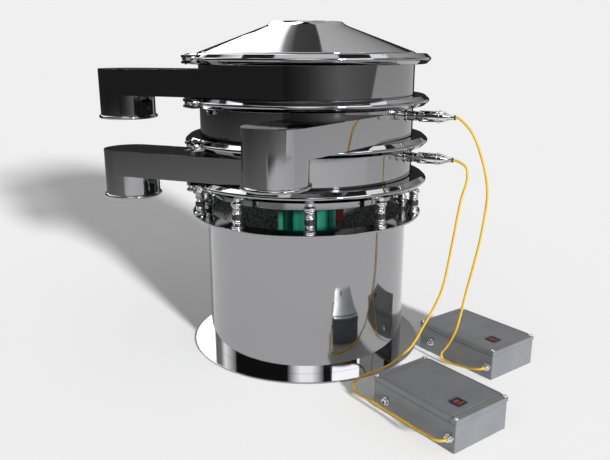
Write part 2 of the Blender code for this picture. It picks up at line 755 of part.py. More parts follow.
def clamp_mesh():
    """A split clamp ring with its closure at +X: a forked lug with a pin at -Y, and at +Y a
    slotted lug whose bearing face is an arc about the pin, so that the bolt swings clear."""
    mesh = turned(clamp_section())
    gap_half = SPLIT_WIDTH / 2
    outer = BOLT_CIRCLE + LUG_REACH
    beyond = outer + OVERCUT
    tall = LUG_HALF_HEIGHT + OVERCUT
    mesh = cut(mesh, block((FRAME_RADIUS, -gap_half, -tall), (beyond, gap_half, tall)))
    near = LUG_SPACING / 2
    far = near + LUG_LENGTH
    fork = block((LUG_ROOT, -far, -LUG_HALF_HEIGHT), (outer, -near, LUG_HALF_HEIGHT))
    slot_half = EYE_HALF_THICKNESS + GAP
    slot_floor = BOLT_CIRCLE - EYE_RADIUS - EYE_ROOM
    fork = cut(fork, block((slot_floor, -far - OVERCUT, -slot_half), (beyond, 0, slot_half)))
    pin_half = LUG_HALF_HEIGHT + PIN_REACH
    pin = rod(PIN_RADIUS, -pin_half, pin_half, 8)
    pin_place = Matrix.Translation((BOLT_CIRCLE, -bolt_pin(), 0))
    fork = joined(fork, moved(pin, pin_place))
    mesh = joined(mesh, fork)
    arc = [(LUG_ROOT, near), (outer, near)]
    reach = bolt_seat() - GAP
    for step in range(SEAT_ARC_STEPS + 1):
        x = LUG_REACH * (1 - 2 * step / SEAT_ARC_STEPS)
        arc.append((BOLT_CIRCLE + x, -bolt_pin() + math.sqrt(reach ** 2 - x ** 2)))
    arc.append((LUG_ROOT, arc[-1][1]))
    lug = prism(arc, -LUG_HALF_HEIGHT, LUG_HALF_HEIGHT)
    groove = BOLT_RADIUS + 2 * GAP
    lug = cut(lug, block((BOLT_CIRCLE - groove, 0, -groove), (beyond, far + OVERCUT, groove)))
    return joined(mesh, lug)


def bolt_mesh():
    """A swing bolt along +Y from its eye, which turns about Z, with its washer and nut."""
    thick = EYE_HALF_THICKNESS
    hole = (PIN_RADIUS + GAP) / math.cos(math.pi / EYE_SIDES)
    mesh = ring(hole, EYE_RADIUS, -thick, thick, EYE_SIDES)
    seat = bolt_seat() + GAP
    nut = seat + WASHER_THICKNESS
    nut_end = nut + NUT_THICKNESS
    root = EYE_RADIUS - SHANK_ROOT
    shank = turned([
        (0, root), (BOLT_RADIUS, root), (BOLT_RADIUS, seat), (WASHER_RADIUS, seat),
        (WASHER_RADIUS, nut), (NUT_RADIUS, nut), (NUT_RADIUS, nut_end), (BOLT_RADIUS, nut_end),
        (BOLT_RADIUS, nut_end + BOLT_TAIL), (0, nut_end + BOLT_TAIL),
    ], 6, "Y")
    return joined(mesh, shank)


def build_clamps():
    clamp = clamp_mesh()
    bolt = bolt_mesh()
    names = ("chassis", "lower", "upper", "lid")
    for index, name in enumerate(names):
        place = turn(CLAMP_ANGLE, joint_height(index))
        add_object(f"{name}_clamp_ring", clamp, "polished_steel", place)
        at_pin = place @ Matrix.Translation((BOLT_CIRCLE, -bolt_pin(), 0))
        add_object(f"{name}_clamp_bolt", bolt, "nickel", at_pin)


def build_motor():
    """The vertical motor under the chassis floor: stator housing, end bell, shaft with rotor,
    and the two eccentric weights."""
    top = CHASSIS_FLOOR - GAP
    bearing = SHAFT_RADIUS + GAP
    flange = top - MOTOR_FLANGE_THICKNESS
    inside = flange - BEARING_LENGTH
    housing = turned([
        (MOTOR_BORE, MOTOR_BOTTOM), (MOTOR_RADIUS, MOTOR_BOTTOM), (MOTOR_RADIUS, flange),
        (MOTOR_FLANGE_RADIUS, flange), (MOTOR_FLANGE_RADIUS, top), (bearing, top),
        (bearing, inside), (MOTOR_BORE, inside),
    ], MOTOR_SIDES)
    rib_low = MOTOR_BOTTOM + MOTOR_RIB_INSET
    rib_high = flange - MOTOR_RIB_INSET
    for index in range(MOTOR_RIBS):
        rib = block((MOTOR_RADIUS - MOTOR_RIB_ROOT, -MOTOR_RIB_WIDTH / 2, rib_low),
                    (MOTOR_RADIUS + MOTOR_RIB_HEIGHT, MOTOR_RIB_WIDTH / 2, rib_high))
        place = turn(math.tau * (index + 0.5) / MOTOR_RIBS)
        housing = joined(housing, moved(rib, place))
    size = Vector(TERMINAL_BOX_SIZE)
    reach = MOTOR_RADIUS + TERMINAL_PAD_RISE
    inset = TERMINAL_PAD_INSET
    low = Vector((reach + GAP, -size.y / 2, flange - TERMINAL_BOX_DROP - size.z))
    pad = block((MOTOR_RADIUS - TERMINAL_PAD_ROOT, low.y + inset, low.z + inset),
                (reach, -low.y - inset, low.z + size.z - inset))
    housing = joined(housing, pad)
    add_object("motor_housing", housing, "green_paint")
    add_object("motor_terminal_box", block(low, low + size), "red_paint")

    bell_top = MOTOR_BOTTOM - GAP
    bell_low = bell_top - BELL_THICKNESS
    bell = turned([
        (bearing, bell_low), (MOTOR_BORE, bell_low), (MOTOR_RADIUS, bell_top - BELL_ROUND),
        (MOTOR_RADIUS, bell_top), (bearing, bell_top),
    ], MOTOR_SIDES)
    add_object("motor_end_bell", bell, "green_paint")
    build_rotor((MOTOR_BOTTOM + inside) / 2)


def weight_mesh():
    """A half-disc weight on a hub that sits on the shaft."""
    thick = WEIGHT_THICKNESS
    mesh = ring(SHAFT_RADIUS + GAP, WEIGHT_HUB, 0, thick, MOTOR_SIDES)
    outline = []
    for step in range(WEIGHT_STEPS + 1):
        angle = math.pi * step / WEIGHT_STEPS - math.pi / 2
        outline.append((WEIGHT_RADIUS * math.cos(angle), WEIGHT_RADIUS * math.sin(angle)))
    sector = prism(outline, 2 * GAP, thick - 2 * GAP)
    hub = rod((SHAFT_RADIUS + WEIGHT_HUB) / 2, -OVERCUT, thick + OVERCUT, MOTOR_SIDES)
    return joined(mesh, cut(sector, hub))


def build_rotor(middle):
    """The shaft with its rotor, whose middle is at the given height, and both weights."""
    upper_low = CHASSIS_FLOOR + CHASSIS_FLOOR_THICKNESS + WEIGHT_CLEARANCE
    lower_low = MOTOR_BOTTOM - GAP - BELL_THICKNESS - WEIGHT_CLEARANCE - WEIGHT_THICKNESS
    half = ROTOR_LENGTH / 2
    shaft_low = lower_low - SHAFT_TAIL
    shaft_high = upper_low + WEIGHT_THICKNESS + SHAFT_TAIL
    shaft = turned([
        (0, shaft_low), (SHAFT_RADIUS, shaft_low), (SHAFT_RADIUS, middle - half),
        (ROTOR_RADIUS, middle - half), (ROTOR_RADIUS, middle + half),
        (SHAFT_RADIUS, middle + half), (SHAFT_RADIUS, shaft_high), (0, shaft_high),
    ], MOTOR_SIDES)
    add_object("motor_shaft", shaft, "spring_steel")
    weight = weight_mesh()
    add_object("upper_eccentric_weight", weight, "cast_iron", turn(0, upper_low))
    add_object("lower_eccentric_weight", weight, "cast_iron", turn(LOWER_WEIGHT_LEAD, lower_low))


def build_sockets():
    """Each socket passes through the frame's wall, with a rigid conduit to the transducer.
    Its plug is pushed on from outside."""
    wall_in = (FRAME_RADIUS - STEEL_WALL) * FACET
    conduit_start = TRANSDUCER_RADIUS + GAP
    flange_in = FRAME_RADIUS + GAP
    flange_out = flange_in + SOCKET_FLANGE_THICKNESS
    nut_out = wall_in - SOCKET_NUT_ROOM
    nut_in = nut_out - SOCKET_NUT_THICKNESS
    socket = turned([
        (0, conduit_start), (CONDUIT_RADIUS, conduit_start), (CONDUIT_RADIUS, nut_in),
        (SOCKET_NUT_RADIUS, nut_in), (SOCKET_NUT_RADIUS, nut_out), (SOCKET_BARREL, nut_out),
        (SOCKET_BARREL, flange_in), (SOCKET_FLANGE_RADIUS, flange_in),
        (SOCKET_FLANGE_RADIUS, flange_out), (SOCKET_SLEEVE_RADIUS, flange_out),
        (SOCKET_SLEEVE_RADIUS, SOCKET_FACE), (0, SOCKET_FACE),
    ], PLUG_SIDES, "X")
    start = SOCKET_FACE + GAP
    ring_in = start + PLUG_BARREL
    ring_out = ring_in + PLUG_RING_WIDTH
    cap = ring_out + PLUG_CAP_LENGTH
    plug = turned([
        (0, start), (PLUG_RADIUS, start), (PLUG_RADIUS, ring_in),
        (PLUG_RADIUS + PLUG_RING_RISE, ring_in), (PLUG_RADIUS + PLUG_RING_RISE, ring_out),
        (PLUG_RADIUS - PLUG_CAP_STEP, ring_out), (PLUG_RADIUS - 2 * PLUG_CAP_STEP, cap),
        (PLUG_NECK_RADIUS, cap + PLUG_CONE_LENGTH), (PLUG_TIP_RADIUS, PLUG_END), (0, PLUG_END),
    ], PLUG_SIDES, "X")
    for index, name in enumerate(("lower", "upper")):
        place = turn(SOCKET_ANGLE, frame_height(index) + SOCKET_RISE)
        add_object(f"{name}_socket", socket, "nickel", place)
        add_object(f"{name}_plug", plug, "nickel", place)


def generator_case_mesh():
    length = GENERATOR_LENGTH / 2 - LID_OVERHANG
    width = GENERATOR_WIDTH / 2 - LID_OVERHANG
    wall = GENERATOR_WALL
    top = GENERATOR_SPLIT - GAP
    mesh = block((-length, -width, 0), (length, width, top))
    mesh = cut(mesh, block((wall - length, wall - width, wall),
                           (length - wall, width - wall, top + OVERCUT)))
    for offset in (CABLE_GLAND_OFFSET, SPARE_GLAND_OFFSET):
        hole = rod(GLAND_SHANK + GAP, -OVERCUT, OVERCUT, GLAND_SIDES, "Y")
        place = Matrix.Translation((offset, -width, GLAND_HEIGHT))
        mesh = cut(mesh, moved(hole, place))
    return mesh


def generator_lid_mesh():
    """A tray-shaped lid, a step lower at both ends, with the hole of the switch."""
    length = GENERATOR_LENGTH / 2
    width = GENERATOR_WIDTH / 2
    low, high = GENERATOR_SPLIT, GENERATOR_HEIGHT
    step = high - LID_END_STEP
    strip = length - LID_END_STRIP
    outline = [(-length, low), (length, low), (length, step), (strip, step), (strip, high),
               (-strip, high), (-strip, step), (-length, step)]
    mesh = prism(outline, -width, width)
    mesh.transform(Matrix.Rotation(math.pi / 2, 4, "X"))
    wall = GENERATOR_WALL + LID_OVERHANG
    inside = block((wall - length, wall - width, low - OVERCUT),
                   (length - wall, width - wall, high - GENERATOR_WALL))
    mesh = cut(mesh, inside)
    x, y = SWITCH_OFFSET
    half = Vector(SWITCH_BODY) / 2 + Vector((GAP, GAP))
    hole = block((x - half.x, y - half.y, low - OVERCUT),
                 (x + half.x, y + half.y, high + OVERCUT))
    return cut(mesh, hole)


def switch_mesh():
    """The switch's frame, about the middle of its foot on the lid."""
    body = Vector(SWITCH_BODY) / 2
    flange = body + Vector((SWITCH_RIM, SWITCH_RIM))
    opening = Vector(ROCKER_SIZE) / 2 + Vector((ROCKER_ROOM, GAP))
    mesh = block((-flange.x, -flange.y, GAP), (flange.x, flange.y, SWITCH_FLANGE))
    mesh = joined(mesh, block((-body.x, -body.y, -SWITCH_DEPTH), (body.x, body.y, 4 * GAP)))
    pocket = block((-opening.x, -opening.y, SWITCH_FLOOR - SWITCH_DEPTH),
                   (opening.x, opening.y, OVERCUT))
    return cut(mesh, pocket)


def rocker_mesh():
    """The rocker about its pivot line, which runs along Y, with two sloping faces."""
    half = ROCKER_SIZE[0] / 2
    low = -ROCKER_THICKNESS
    keel = half * ROCKER_KEEL
    side = low + ROCKER_EAR
    outline = [(-half, side), (-keel, low), (keel, low), (half, side), (half, ROCKER_EAR),
               (0, ROCKER_DIP), (-half, ROCKER_EAR)]
    mesh = prism(outline, -ROCKER_SIZE[1] / 2, ROCKER_SIZE[1] / 2)
    mesh.transform(Matrix.Rotation(math.pi / 2, 4, "X"))
    return mesh


def gland_mesh():
    """A cable gland along -Y from the case's outer face, with its locknut inside."""
    inside = -GENERATOR_WALL - GAP
    locknut = GLAND_NUT - LOCKNUT_STEP
    shoulder = GLAND_NUT_LENGTH + GLAND_SHOULDER
    outline = [
        (0, inside - LOCKNUT_THICKNESS), (locknut, inside - LOCKNUT_THICKNESS),
        (locknut, inside), (GLAND_SHANK, inside), (GLAND_SHANK, GAP), (GLAND_NUT, GAP),
        (GLAND_NUT, GLAND_NUT_LENGTH), (GLAND_NUT - GLAND_SHOULDER, shoulder),
        (GLAND_TIP, GLAND_REACH), (0, GLAND_REACH),
    ]
    mesh = turned(outline, GLAND_SIDES, "Y")
    mesh.transform(Matrix.Rotation(math.pi, 4, "Z"))
    return mesh


def build_generators():
    case = generator_case_mesh()
    lid = generator_lid_mesh()
    switch = switch_mesh()
    rocker = rocker_mesh()
    gland = gland_mesh()
    face = LID_OVERHANG - GENERATOR_WIDTH / 2
    for name, (centre, angle) in GENERATORS.items():
        place = Matrix.Translation(centre) @ Matrix.Rotation(angle, 4, "Z")
        at_switch = place @ Matrix.Translation((*SWITCH_OFFSET, GENERATOR_HEIGHT))
        add_object(f"{name}_generator_case", case, "grey_paint", place)
        add_object(f"{name}_generator_lid", lid, "grey_paint", place)
        add_object(f"{name}_switch_frame", switch, "black_plastic", at_switch)
        tilted = at_switch @ Matrix.Rotation(-ROCKER_TILT, 4, "Y")
        add_object(f"{name}_switch_rocker", rocker, "red_plastic", tilted)
        for kind, offset in (("cable", CABLE_GLAND_OFFSET), ("spare", SPARE_GLAND_OFFSET)):
            at_gland = place @ Matrix.Translation((offset, face, GLAND_HEIGHT))
            add_object(f"{name}_{kind}_gland", gland, "nickel", at_gland)


def between(start, end, low, high, time):
    return start + (end - start) * ((time - low) / (high - low))


def smooth_route(points):
    """Closely spaced points along a smooth curve that passes through the given ones, from the
    second to the last but one. The outer two set the curve's direction at its ends."""
    dense = []
    for index in range(len(points) - 3):
        four = points[index:index + 4]
        knots = [0.0]
        for start, end in zip(four, four[1:]):
            knots.append(knots[-1] + math.sqrt((end - start).length))
        for part in range(ROUTE_PARTS):
            time = knots[1] + (knots[2] - knots[1]) * part / ROUTE_PARTS
            first = [between(four[i], four[i + 1], knots[i], knots[i + 1], time)
                     for i in range(3)]
            second = [between(first[i], first[i + 1], knots[i], knots[i + 2], time)
                      for i in range(2)]
            dense.append(between(second[0], second[1], knots[1], knots[2], time))
    dense.append(points[-2])
    return dense


def evenly_spaced(dense, step):
    """The same curve by points at equal distances along it."""
    lengths = [0.0]
    for start, end in zip(dense, dense[1:]):
        lengths.append(lengths[-1] + (end - start).length)
    count = round(lengths[-1] / step)
    points = []
    segment = 0
    for index in range(count):
        target = lengths[-1] * index / count
        while lengths[segment + 1] <= target:
            segment += 1
        points.append(between(dense[segment], dense[segment + 1],
                              lengths[segment], lengths[segment + 1], target))
    points.append(dense[-1])
    return points


def cable_points(name, generator):
    """The route of a cable from the end of its plug to the end of its gland, with a short
    straight lead at both."""
    height = frame_height(("lower", "upper").index(name)) + SOCKET_RISE
    plug = turn(SOCKET_ANGLE, height)
    starts = [plug @ Vector((PLUG_END + GAP + CABLE_LEAD * part, 0, 0)) for part in (0, 1)]
    centre, angle = GENERATORS[generator]
    place = Matrix.Translation(centre) @ Matrix.Rotation(angle, 4, "Z")
    tip = LID_OVERHANG - GENERATOR_WIDTH / 2 - GLAND_REACH
    ends = [place @ Vector((CABLE_GLAND_OFFSET, tip - GAP - CABLE_LEAD * part, GLAND_HEIGHT))
            for part in (1, 0)]
    middle = [Vector(point) for point in CABLE_ROUTES[name]]
    route = evenly_spaced(smooth_route([*starts, *middle, *ends]), CABLE_STEP)
    return [starts[0], *route, ends[1]]


def build_cables():
    for name, generator in (("upper", "rear"), ("lower", "front")):
        points = cable_points(name, generator)
        curve = bpy.data.curves.new(f"{name}_cable", "CURVE")
        curve.dimensions = "3D"
        curve.bevel_depth = CABLE_RADIUS
        curve.bevel_resolution = 1
        curve.use_fill_caps = True
        line = curve.splines.new("POLY")
        line.points.add(len(points) - 1)
        for target, point in zip(line.points, points):
            target.co = (*point, 1)
        add_object(f"{name}_cable", curve, "yellow_cable")


def main():
    for piece in list(bpy.data.objects):
        bpy.data.objects.remove(piece)
    build_base()
    build_springs()
    build_chassis()
    build_dome()
    build_frames()
    build_lid()
    build_screens()
    build_clamps()
    build_motor()
    build_sockets()
    build_generators()
    build_cables()


main()
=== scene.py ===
# %% [markdown]
# # A vibrating sieve with two decks and two ultrasonic drive boxes
#
# The machine is nearly all mirror-polished stainless steel, so its looks come from three things:
# clean round shapes with fine facets, small rounded edges that catch the light, and a studio
# around it that is worth reflecting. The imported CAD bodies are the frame. Every visible shell is
# made again here at the same size with many more sides, and then rides on its body.

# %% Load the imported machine
import math

import bmesh
import bpy
from mathutils import Matrix, Vector


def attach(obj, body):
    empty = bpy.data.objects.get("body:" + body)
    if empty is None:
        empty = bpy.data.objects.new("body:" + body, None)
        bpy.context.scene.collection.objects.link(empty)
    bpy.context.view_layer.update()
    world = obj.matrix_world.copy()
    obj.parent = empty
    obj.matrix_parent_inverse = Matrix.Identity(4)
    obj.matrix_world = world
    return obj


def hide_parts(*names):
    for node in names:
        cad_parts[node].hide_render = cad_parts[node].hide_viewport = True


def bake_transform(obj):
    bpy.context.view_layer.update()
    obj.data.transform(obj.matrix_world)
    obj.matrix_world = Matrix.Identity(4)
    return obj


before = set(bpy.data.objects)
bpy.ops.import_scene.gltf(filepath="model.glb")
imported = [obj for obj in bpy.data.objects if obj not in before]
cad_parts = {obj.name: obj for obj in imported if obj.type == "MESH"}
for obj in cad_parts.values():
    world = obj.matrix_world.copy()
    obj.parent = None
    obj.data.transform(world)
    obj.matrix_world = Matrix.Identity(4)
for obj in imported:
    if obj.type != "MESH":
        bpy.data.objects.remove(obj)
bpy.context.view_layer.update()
scene = bpy.context.scene

# %% [markdown]
# ## The camera
#
# The camera stands a little under two metres in front of the machine and looks down at it by
# about fifteen degrees. Its place was fitted to the circles of the machine and to the corners of
# the two drive boxes.


# %% Camera
def placed(name, data):
    """A new object in the scene that holds this mesh, lamp or camera."""
    piece = bpy.data.objects.new(name, data)
    scene.collection.objects.link(piece)
    return piece


CAMERA_PLACE = (-0.0041, -1.9255, 0.8458)
CAMERA_PITCH = math.radians(15.04)
CAMERA_LENS_MM = 39.47
SENSOR_MM = 36.0

camera_data = bpy.data.cameras.new("camera")
camera_data.sensor_width = SENSOR_MM
camera_data.lens = CAMERA_LENS_MM
camera = placed("camera", camera_data)
camera.location = CAMERA_PLACE
camera.rotation_euler = (math.pi / 2 - CAMERA_PITCH, 0, 0)
scene.camera = camera
print("lens", CAMERA_LENS_MM, "mm")

# %% [markdown]
# ## Sizes shared by the pieces
#
# These are the same sizes as in the CAD source, in metres, with the machine's axis at the origin.

# %% Sizes
GAP = 0.0003
FINE_SIDES = 256
LOWEST_JOINT = 0.4968
JOINT_PITCH = 0.1092
JOINTS = [LOWEST_JOINT + index * JOINT_PITCH for index in range(4)]
FRAME_MIDS = [joint + JOINT_PITCH / 2 for joint in JOINTS[:3]]
FRAME_RADIUS = 0.300
FLANGE_RADIUS = 0.325
STEEL_WALL = 0.002
FLANGE_START = 0.0053
FLANGE_END = 0.0098
SOCKET_ANGLE = math.radians(-28.125)
SOCKET_RISE = 0.019
CABLE_RADIUS = 0.00325
GENERATORS = {
    "front": (Vector((0.3118, -0.4978, 0)), math.radians(-53.4)),
    "rear": (Vector((0.4810, -0.1610, 0)), math.radians(-53.15)),
}
print("joints at", [round(joint, 4) for joint in JOINTS])

# %% [markdown]
# ## Making meshes
#
# A few small tools do most of the work. A turned piece spins an outline about the axis, a swept
# tube follows a route, and an exact Boolean joins sheet-metal shapes. Smooth shading with sharp
# edges keeps the mirror finish free of facets.


# %% Mesh tools
def as_mesh(bm, sharp=math.radians(28)):
    bmesh.ops.remove_doubles(bm, verts=bm.verts, dist=2e-6)
    bmesh.ops.dissolve_degenerate(bm, edges=bm.edges, dist=1e-6)
    bmesh.ops.recalc_face_normals(bm, faces=bm.faces)
    mesh = bpy.data.meshes.new("shape")
    bm.to_mesh(mesh)
    bm.free()
    mesh.polygons.foreach_set("use_smooth", [True] * len(mesh.polygons))
    mesh.set_sharp_from_angle(angle=sharp)
    return mesh


def merged(meshes):
    """One clean mesh from several."""
    bm = bmesh.new()
    for mesh in meshes:
        bm.from_mesh(mesh)
    return as_mesh(bm)


def baked(piece):
    """The plain mesh of an object with its modifiers applied. The object itself is removed."""
    graph = bpy.context.evaluated_depsgraph_get()
    mesh = bpy.data.meshes.new_from_object(piece.evaluated_get(graph))
    bpy.data.objects.remove(piece)
    return mesh


def turned(outline, sides=FINE_SIDES, axis="Z"):
    """Spins an outline of (radius, height). One that starts on the axis ends on it too."""
    bm = bmesh.new()
    start = Matrix.Rotation(math.pi / sides, 3, "Z")
    verts = [bm.verts.new(start @ Vector((radius, 0, height))) for radius, height in outline]
    edges = [bm.edges.new(pair) for pair in zip(verts, verts[1:])]
    if outline[0][0] > 0:
        edges.append(bm.edges.new((verts[-1], verts[0])))
    bmesh.ops.spin(bm, geom=verts + edges, cent=(0, 0, 0), axis=(0, 0, 1),
                   angle=math.tau, steps=sides, use_merge=True)
    if axis == "X":
        bmesh.ops.transform(bm, matrix=Matrix.Rotation(math.pi / 2, 4, "Y"), verts=bm.verts)
    if axis == "Y":
        bmesh.ops.transform(bm, matrix=Matrix.Rotation(-math.pi / 2, 4, "X"), verts=bm.verts)
    return as_mesh(bm)


def rod(radius, low, high, sides=FINE_SIDES, axis="Z"):
    return turned([(0, low), (radius, low), (radius, high), (0, high)], sides, axis)


def arc(centre, radius, start, end, steps):
    """Points of an outline along an arc, with its angles in degrees."""
    points = []
    for step in range(steps + 1):
        angle = math.radians(start + (end - start) * step / steps)
        points.append((centre[0] + radius * math.cos(angle), centre[1] + radius * math.sin(angle)))
    return points


def block(low, high):
    bm = bmesh.new()
    bmesh.ops.create_cube(bm, size=1)
    low, high = Vector(low), Vector(high)
    bmesh.ops.scale(bm, vec=high - low, verts=bm.verts)
    bmesh.ops.translate(bm, vec=(low + high) / 2, verts=bm.verts)
    return as_mesh(bm)


def rounded(mesh, width, segments=3, limit=math.radians(35)):
    """Bevels the edges of a mesh, so that they catch a line of light."""
    piece = placed("rounded", mesh)
    modifier = piece.modifiers.new("bevel", "BEVEL")
    modifier.width = width
    modifier.segments = segments
    modifier.limit_method = "ANGLE"
    modifier.angle_limit = limit
    return merged([baked(piece)])


def combined(mesh, tool, operation):
    body = placed("body", mesh)
    cutter = placed("cutter", tool)
    modifier = body.modifiers.new("boolean", "BOOLEAN")
    modifier.operation = operation
    modifier.solver = "EXACT"
    modifier.object = cutter
    result = baked(body)
    bpy.data.objects.remove(cutter)
    return merged([result])


def joined(mesh, tool):
    return combined(mesh, tool, "UNION")


def cut(mesh, tool):
    return combined(mesh, tool, "DIFFERENCE")


def moved(mesh, matrix):
    mesh = mesh.copy()
    mesh.transform(matrix)
    return mesh


def turn(angle, height=0.0):
    return Matrix.Translation((0, 0, height)) @ Matrix.Rotation(angle, 4, "Z")


def even_shading(mesh):
    """Weights the normals by face area, so that a broad face shades flat beside its edge."""
    piece = placed("shaded", mesh)
    piece.modifiers.new("weights", "WEIGHTED_NORMAL").keep_sharp = True
    return baked(piece)


def piece_of(name, mesh, finish, body=None, replaces=()):
    """Puts a finished mesh in the scene with its finish, on its body."""
    mesh = even_shading(mesh)
    piece = placed(name, mesh)
    mesh.materials.clear()
    mesh.materials.append(finish)
    if body:
        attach(piece, body)
    if replaces:
        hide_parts(*replaces)
    return piece


# %% [markdown]
# ## Finishes
#
# Each finish is a small node tree. Mirror steel is not quite perfect on the real machine: buffing
# leaves faint clouds in the roughness and hair-thin lines, so both are made with noise in
# real-world scale and read from object coordinates.


# %% Finish tools
def new_finish(name, colour, roughness, metallic=0.0):
    material = bpy.data.materials.new(name)
    material.use_nodes = True
    tree = material.node_tree
    shader = tree.nodes["Principled BSDF"]
    shader.inputs["Base Color"].default_value = (*colour, 1)
    shader.inputs["Roughness"].default_value = roughness
    shader.inputs["Metallic"].default_value = metallic
    return material, tree, shader


def noise_node(tree, scale, detail=3.0, stretch=(1, 1, 1)):
    """Noise over object coordinates. The scale is in features per metre."""
    place = tree.nodes.new("ShaderNodeTexCoord")
    mapping = tree.nodes.new("ShaderNodeMapping")
    mapping.inputs["Scale"].default_value = stretch
    noise = tree.nodes.new("ShaderNodeTexNoise")
    noise.inputs["Scale"].default_value = scale
    noise.inputs["Detail"].default_value = detail
    tree.links.new(place.outputs["Object"], mapping.inputs["Vector"])
    tree.links.new(mapping.outputs["Vector"], noise.inputs["Vector"])
    return noise


def vary(tree, source, target, low, high):
    """Lets a noise move a shader's value between two limits."""
    spread = tree.nodes.new("ShaderNodeMapRange")
    spread.inputs["From Min"].default_value = 0.3
    spread.inputs["From Max"].default_value = 0.7
    spread.inputs["To Min"].default_value = low
    spread.inputs["To Max"].default_value = high
    tree.links.new(source.outputs["Fac"], spread.inputs["Value"])
    tree.links.new(spread.outputs["Result"], target)


def blend_colours(tree, source, target, first, second):
    ramp = tree.nodes.new("ShaderNodeValToRGB")
    ramp.color_ramp.elements[0].position = 0.35
    ramp.color_ramp.elements[0].color = (*first, 1)
    ramp.color_ramp.elements[1].position = 0.65
    ramp.color_ramp.elements[1].color = (*second, 1)
    tree.links.new(source.outputs["Fac"], ramp.inputs["Fac"])
    tree.links.new(ramp.outputs["Color"], target)


def raise_bump(tree, source, shader, distance):
    bump = tree.nodes.new("ShaderNodeBump")
    bump.inputs["Strength"].default_value = 1.0
    bump.inputs["Distance"].default_value = distance
    tree.links.new(source.outputs["Fac"], bump.inputs["Height"])
    tree.links.new(bump.outputs["Normal"], shader.inputs["Normal"])


def steel_finish(name, colour, low, high, stretch=(1, 1, 1), lines=900, depth=0.0000006):
    material, tree, shader = new_finish(name, colour, low, 1.0)
    vary(tree, noise_node(tree, 9, 4), shader.inputs["Roughness"], low, high)
    raise_bump(tree, noise_node(tree, lines, 2, stretch), shader, depth)
    return material


def painted_finish(name, light, dark, roughness, grain, depth, shine=0.5):
    material, tree, shader = new_finish(name, light, roughness)
    shader.inputs["Specular IOR Level"].default_value = shine
    blend_colours(tree, noise_node(tree, 14, 4), shader.inputs["Base Color"], dark, light)
    vary(tree, noise_node(tree, 30, 3), shader.inputs["Roughness"], roughness - 0.05,
         roughness + 0.07)
    raise_bump(tree, noise_node(tree, grain, 2), shader, depth)
    return material


# %% Finishes of this machine
mirror_steel = steel_finish("mirror_steel", (0.362, 0.362, 0.370), 0.035, 0.075, (1, 1, 0.05))
dull_steel, dull_tree, dull_shader = new_finish("dull_steel", (0.40, 0.40, 0.41), 0.5)
blend_colours(dull_tree, noise_node(dull_tree, 190, 2), dull_shader.inputs["Base Color"],
              (0.12, 0.12, 0.125), (0.74, 0.74, 0.75))
spring_wire = steel_finish("spring_wire", (0.62, 0.62, 0.63), 0.12, 0.22)
bright_nickel = steel_finish("bright_nickel", (0.78, 0.78, 0.79), 0.06, 0.12)
inner_steel = steel_finish("inner_steel", (0.36, 0.36, 0.37), 0.22, 0.36, (1, 1, 0.1), 600,
                           0.000002)
green_paint = painted_finish("green_paint", (0.020, 0.235, 0.150), (0.012, 0.170, 0.110),
                             0.34, 700, 0.00003)
# The terminal box's own dark red, made darker still with painted shade for the shaded gap between
# the springs where the box sits.
red_paint = painted_finish("red_paint", (0.034, 0.001, 0.002), (0.022, 0.0008, 0.0015), 0.62,
                           700, 0.00003, 0.15)
grey_coat = painted_finish("grey_coat", (0.203, 0.212, 0.224), (0.178, 0.187, 0.198), 0.40,
                           1600, 0.00004)
cast_iron = painted_finish("cast_iron", (0.11, 0.11, 0.12), (0.06, 0.06, 0.06), 0.62, 500,
                           0.00015)
black_mould = painted_finish("black_mould", (0.012, 0.012, 0.012), (0.008, 0.008, 0.008),
                             0.42, 1200, 0.00002)
red_mould = painted_finish("red_mould", (0.300, 0.045, 0.040), (0.230, 0.030, 0.030), 0.38,
                           900, 0.00001)
black_rubber = painted_finish("black_rubber", (0.014, 0.014, 0.014), (0.009, 0.009, 0.009),
                              0.55, 900, 0.00003)
yellow_sheath = painted_finish("yellow_sheath", (0.760, 0.480, 0.018), (0.680, 0.410, 0.012),
                               0.38, 1100, 0.00001)
print("finishes", len(bpy.data.materials))

# %% [markdown]
# ## The two signal cables
#
# A cable is a tube swept along a smooth curve through listed points. It leaves its plug
# straight, hangs down beside the machine and runs along its drive box into the gland.

# %% Cables
CABLE_POINTS = {
    "upper": (
        (0.4195, -0.2240, 0.6440), (0.4510, -0.2290, 0.5690), (0.4650, -0.2320, 0.5094),
        (0.4673, -0.2330, 0.4731), (0.4560, -0.2330, 0.3600), (0.4303, -0.2320, 0.2226),
        (0.4056, -0.2488, 0.1200), (0.3948, -0.2344, 0.0769), (0.3855, -0.2220, 0.0500),
        (0.3781, -0.2121, 0.0320), (0.3767, -0.2102, 0.0250), (0.3789, -0.2132, 0.0160),
        (0.3851, -0.2215, 0.0115), (0.3966, -0.2368, 0.0120), (0.4198, -0.2694, 0.0185),
        (0.4372, -0.3001, 0.0275), (0.4459, -0.3135, 0.0325), (0.4565, -0.3193, 0.0350),
    ),
    "lower": (
        (0.4095, -0.2240, 0.5560), (0.4140, -0.2280, 0.5260), (0.4007, -0.2310, 0.4724),
        (0.3830, -0.2350, 0.3500), (0.3595, -0.2400, 0.2193), (0.3119, -0.2620, 0.1295),
        (0.2806, -0.2780, 0.0813), (0.2525, -0.2900, 0.0591), (0.2175, -0.3050, 0.0385),
        (0.1684, -0.3250, 0.0266), (0.1371, -0.3400, 0.0197), (0.1206, -0.3650, 0.0163),
        (0.1267, -0.3950, 0.0093), (0.1583, -0.4697, 0.0255), (0.1780, -0.4963, 0.0238),
        (0.2006, -0.5284, 0.0250), (0.2384, -0.5827, 0.0258), (0.2656, -0.6318, 0.0330),
        (0.2761, -0.6501, 0.0350), (0.2867, -0.6560, 0.0358),
    ),
}
CABLE_LEAD = 0.006
PLUG_END = 0.431
GLAND_TIP = 0.101
GLAND_HEIGHT = 0.036
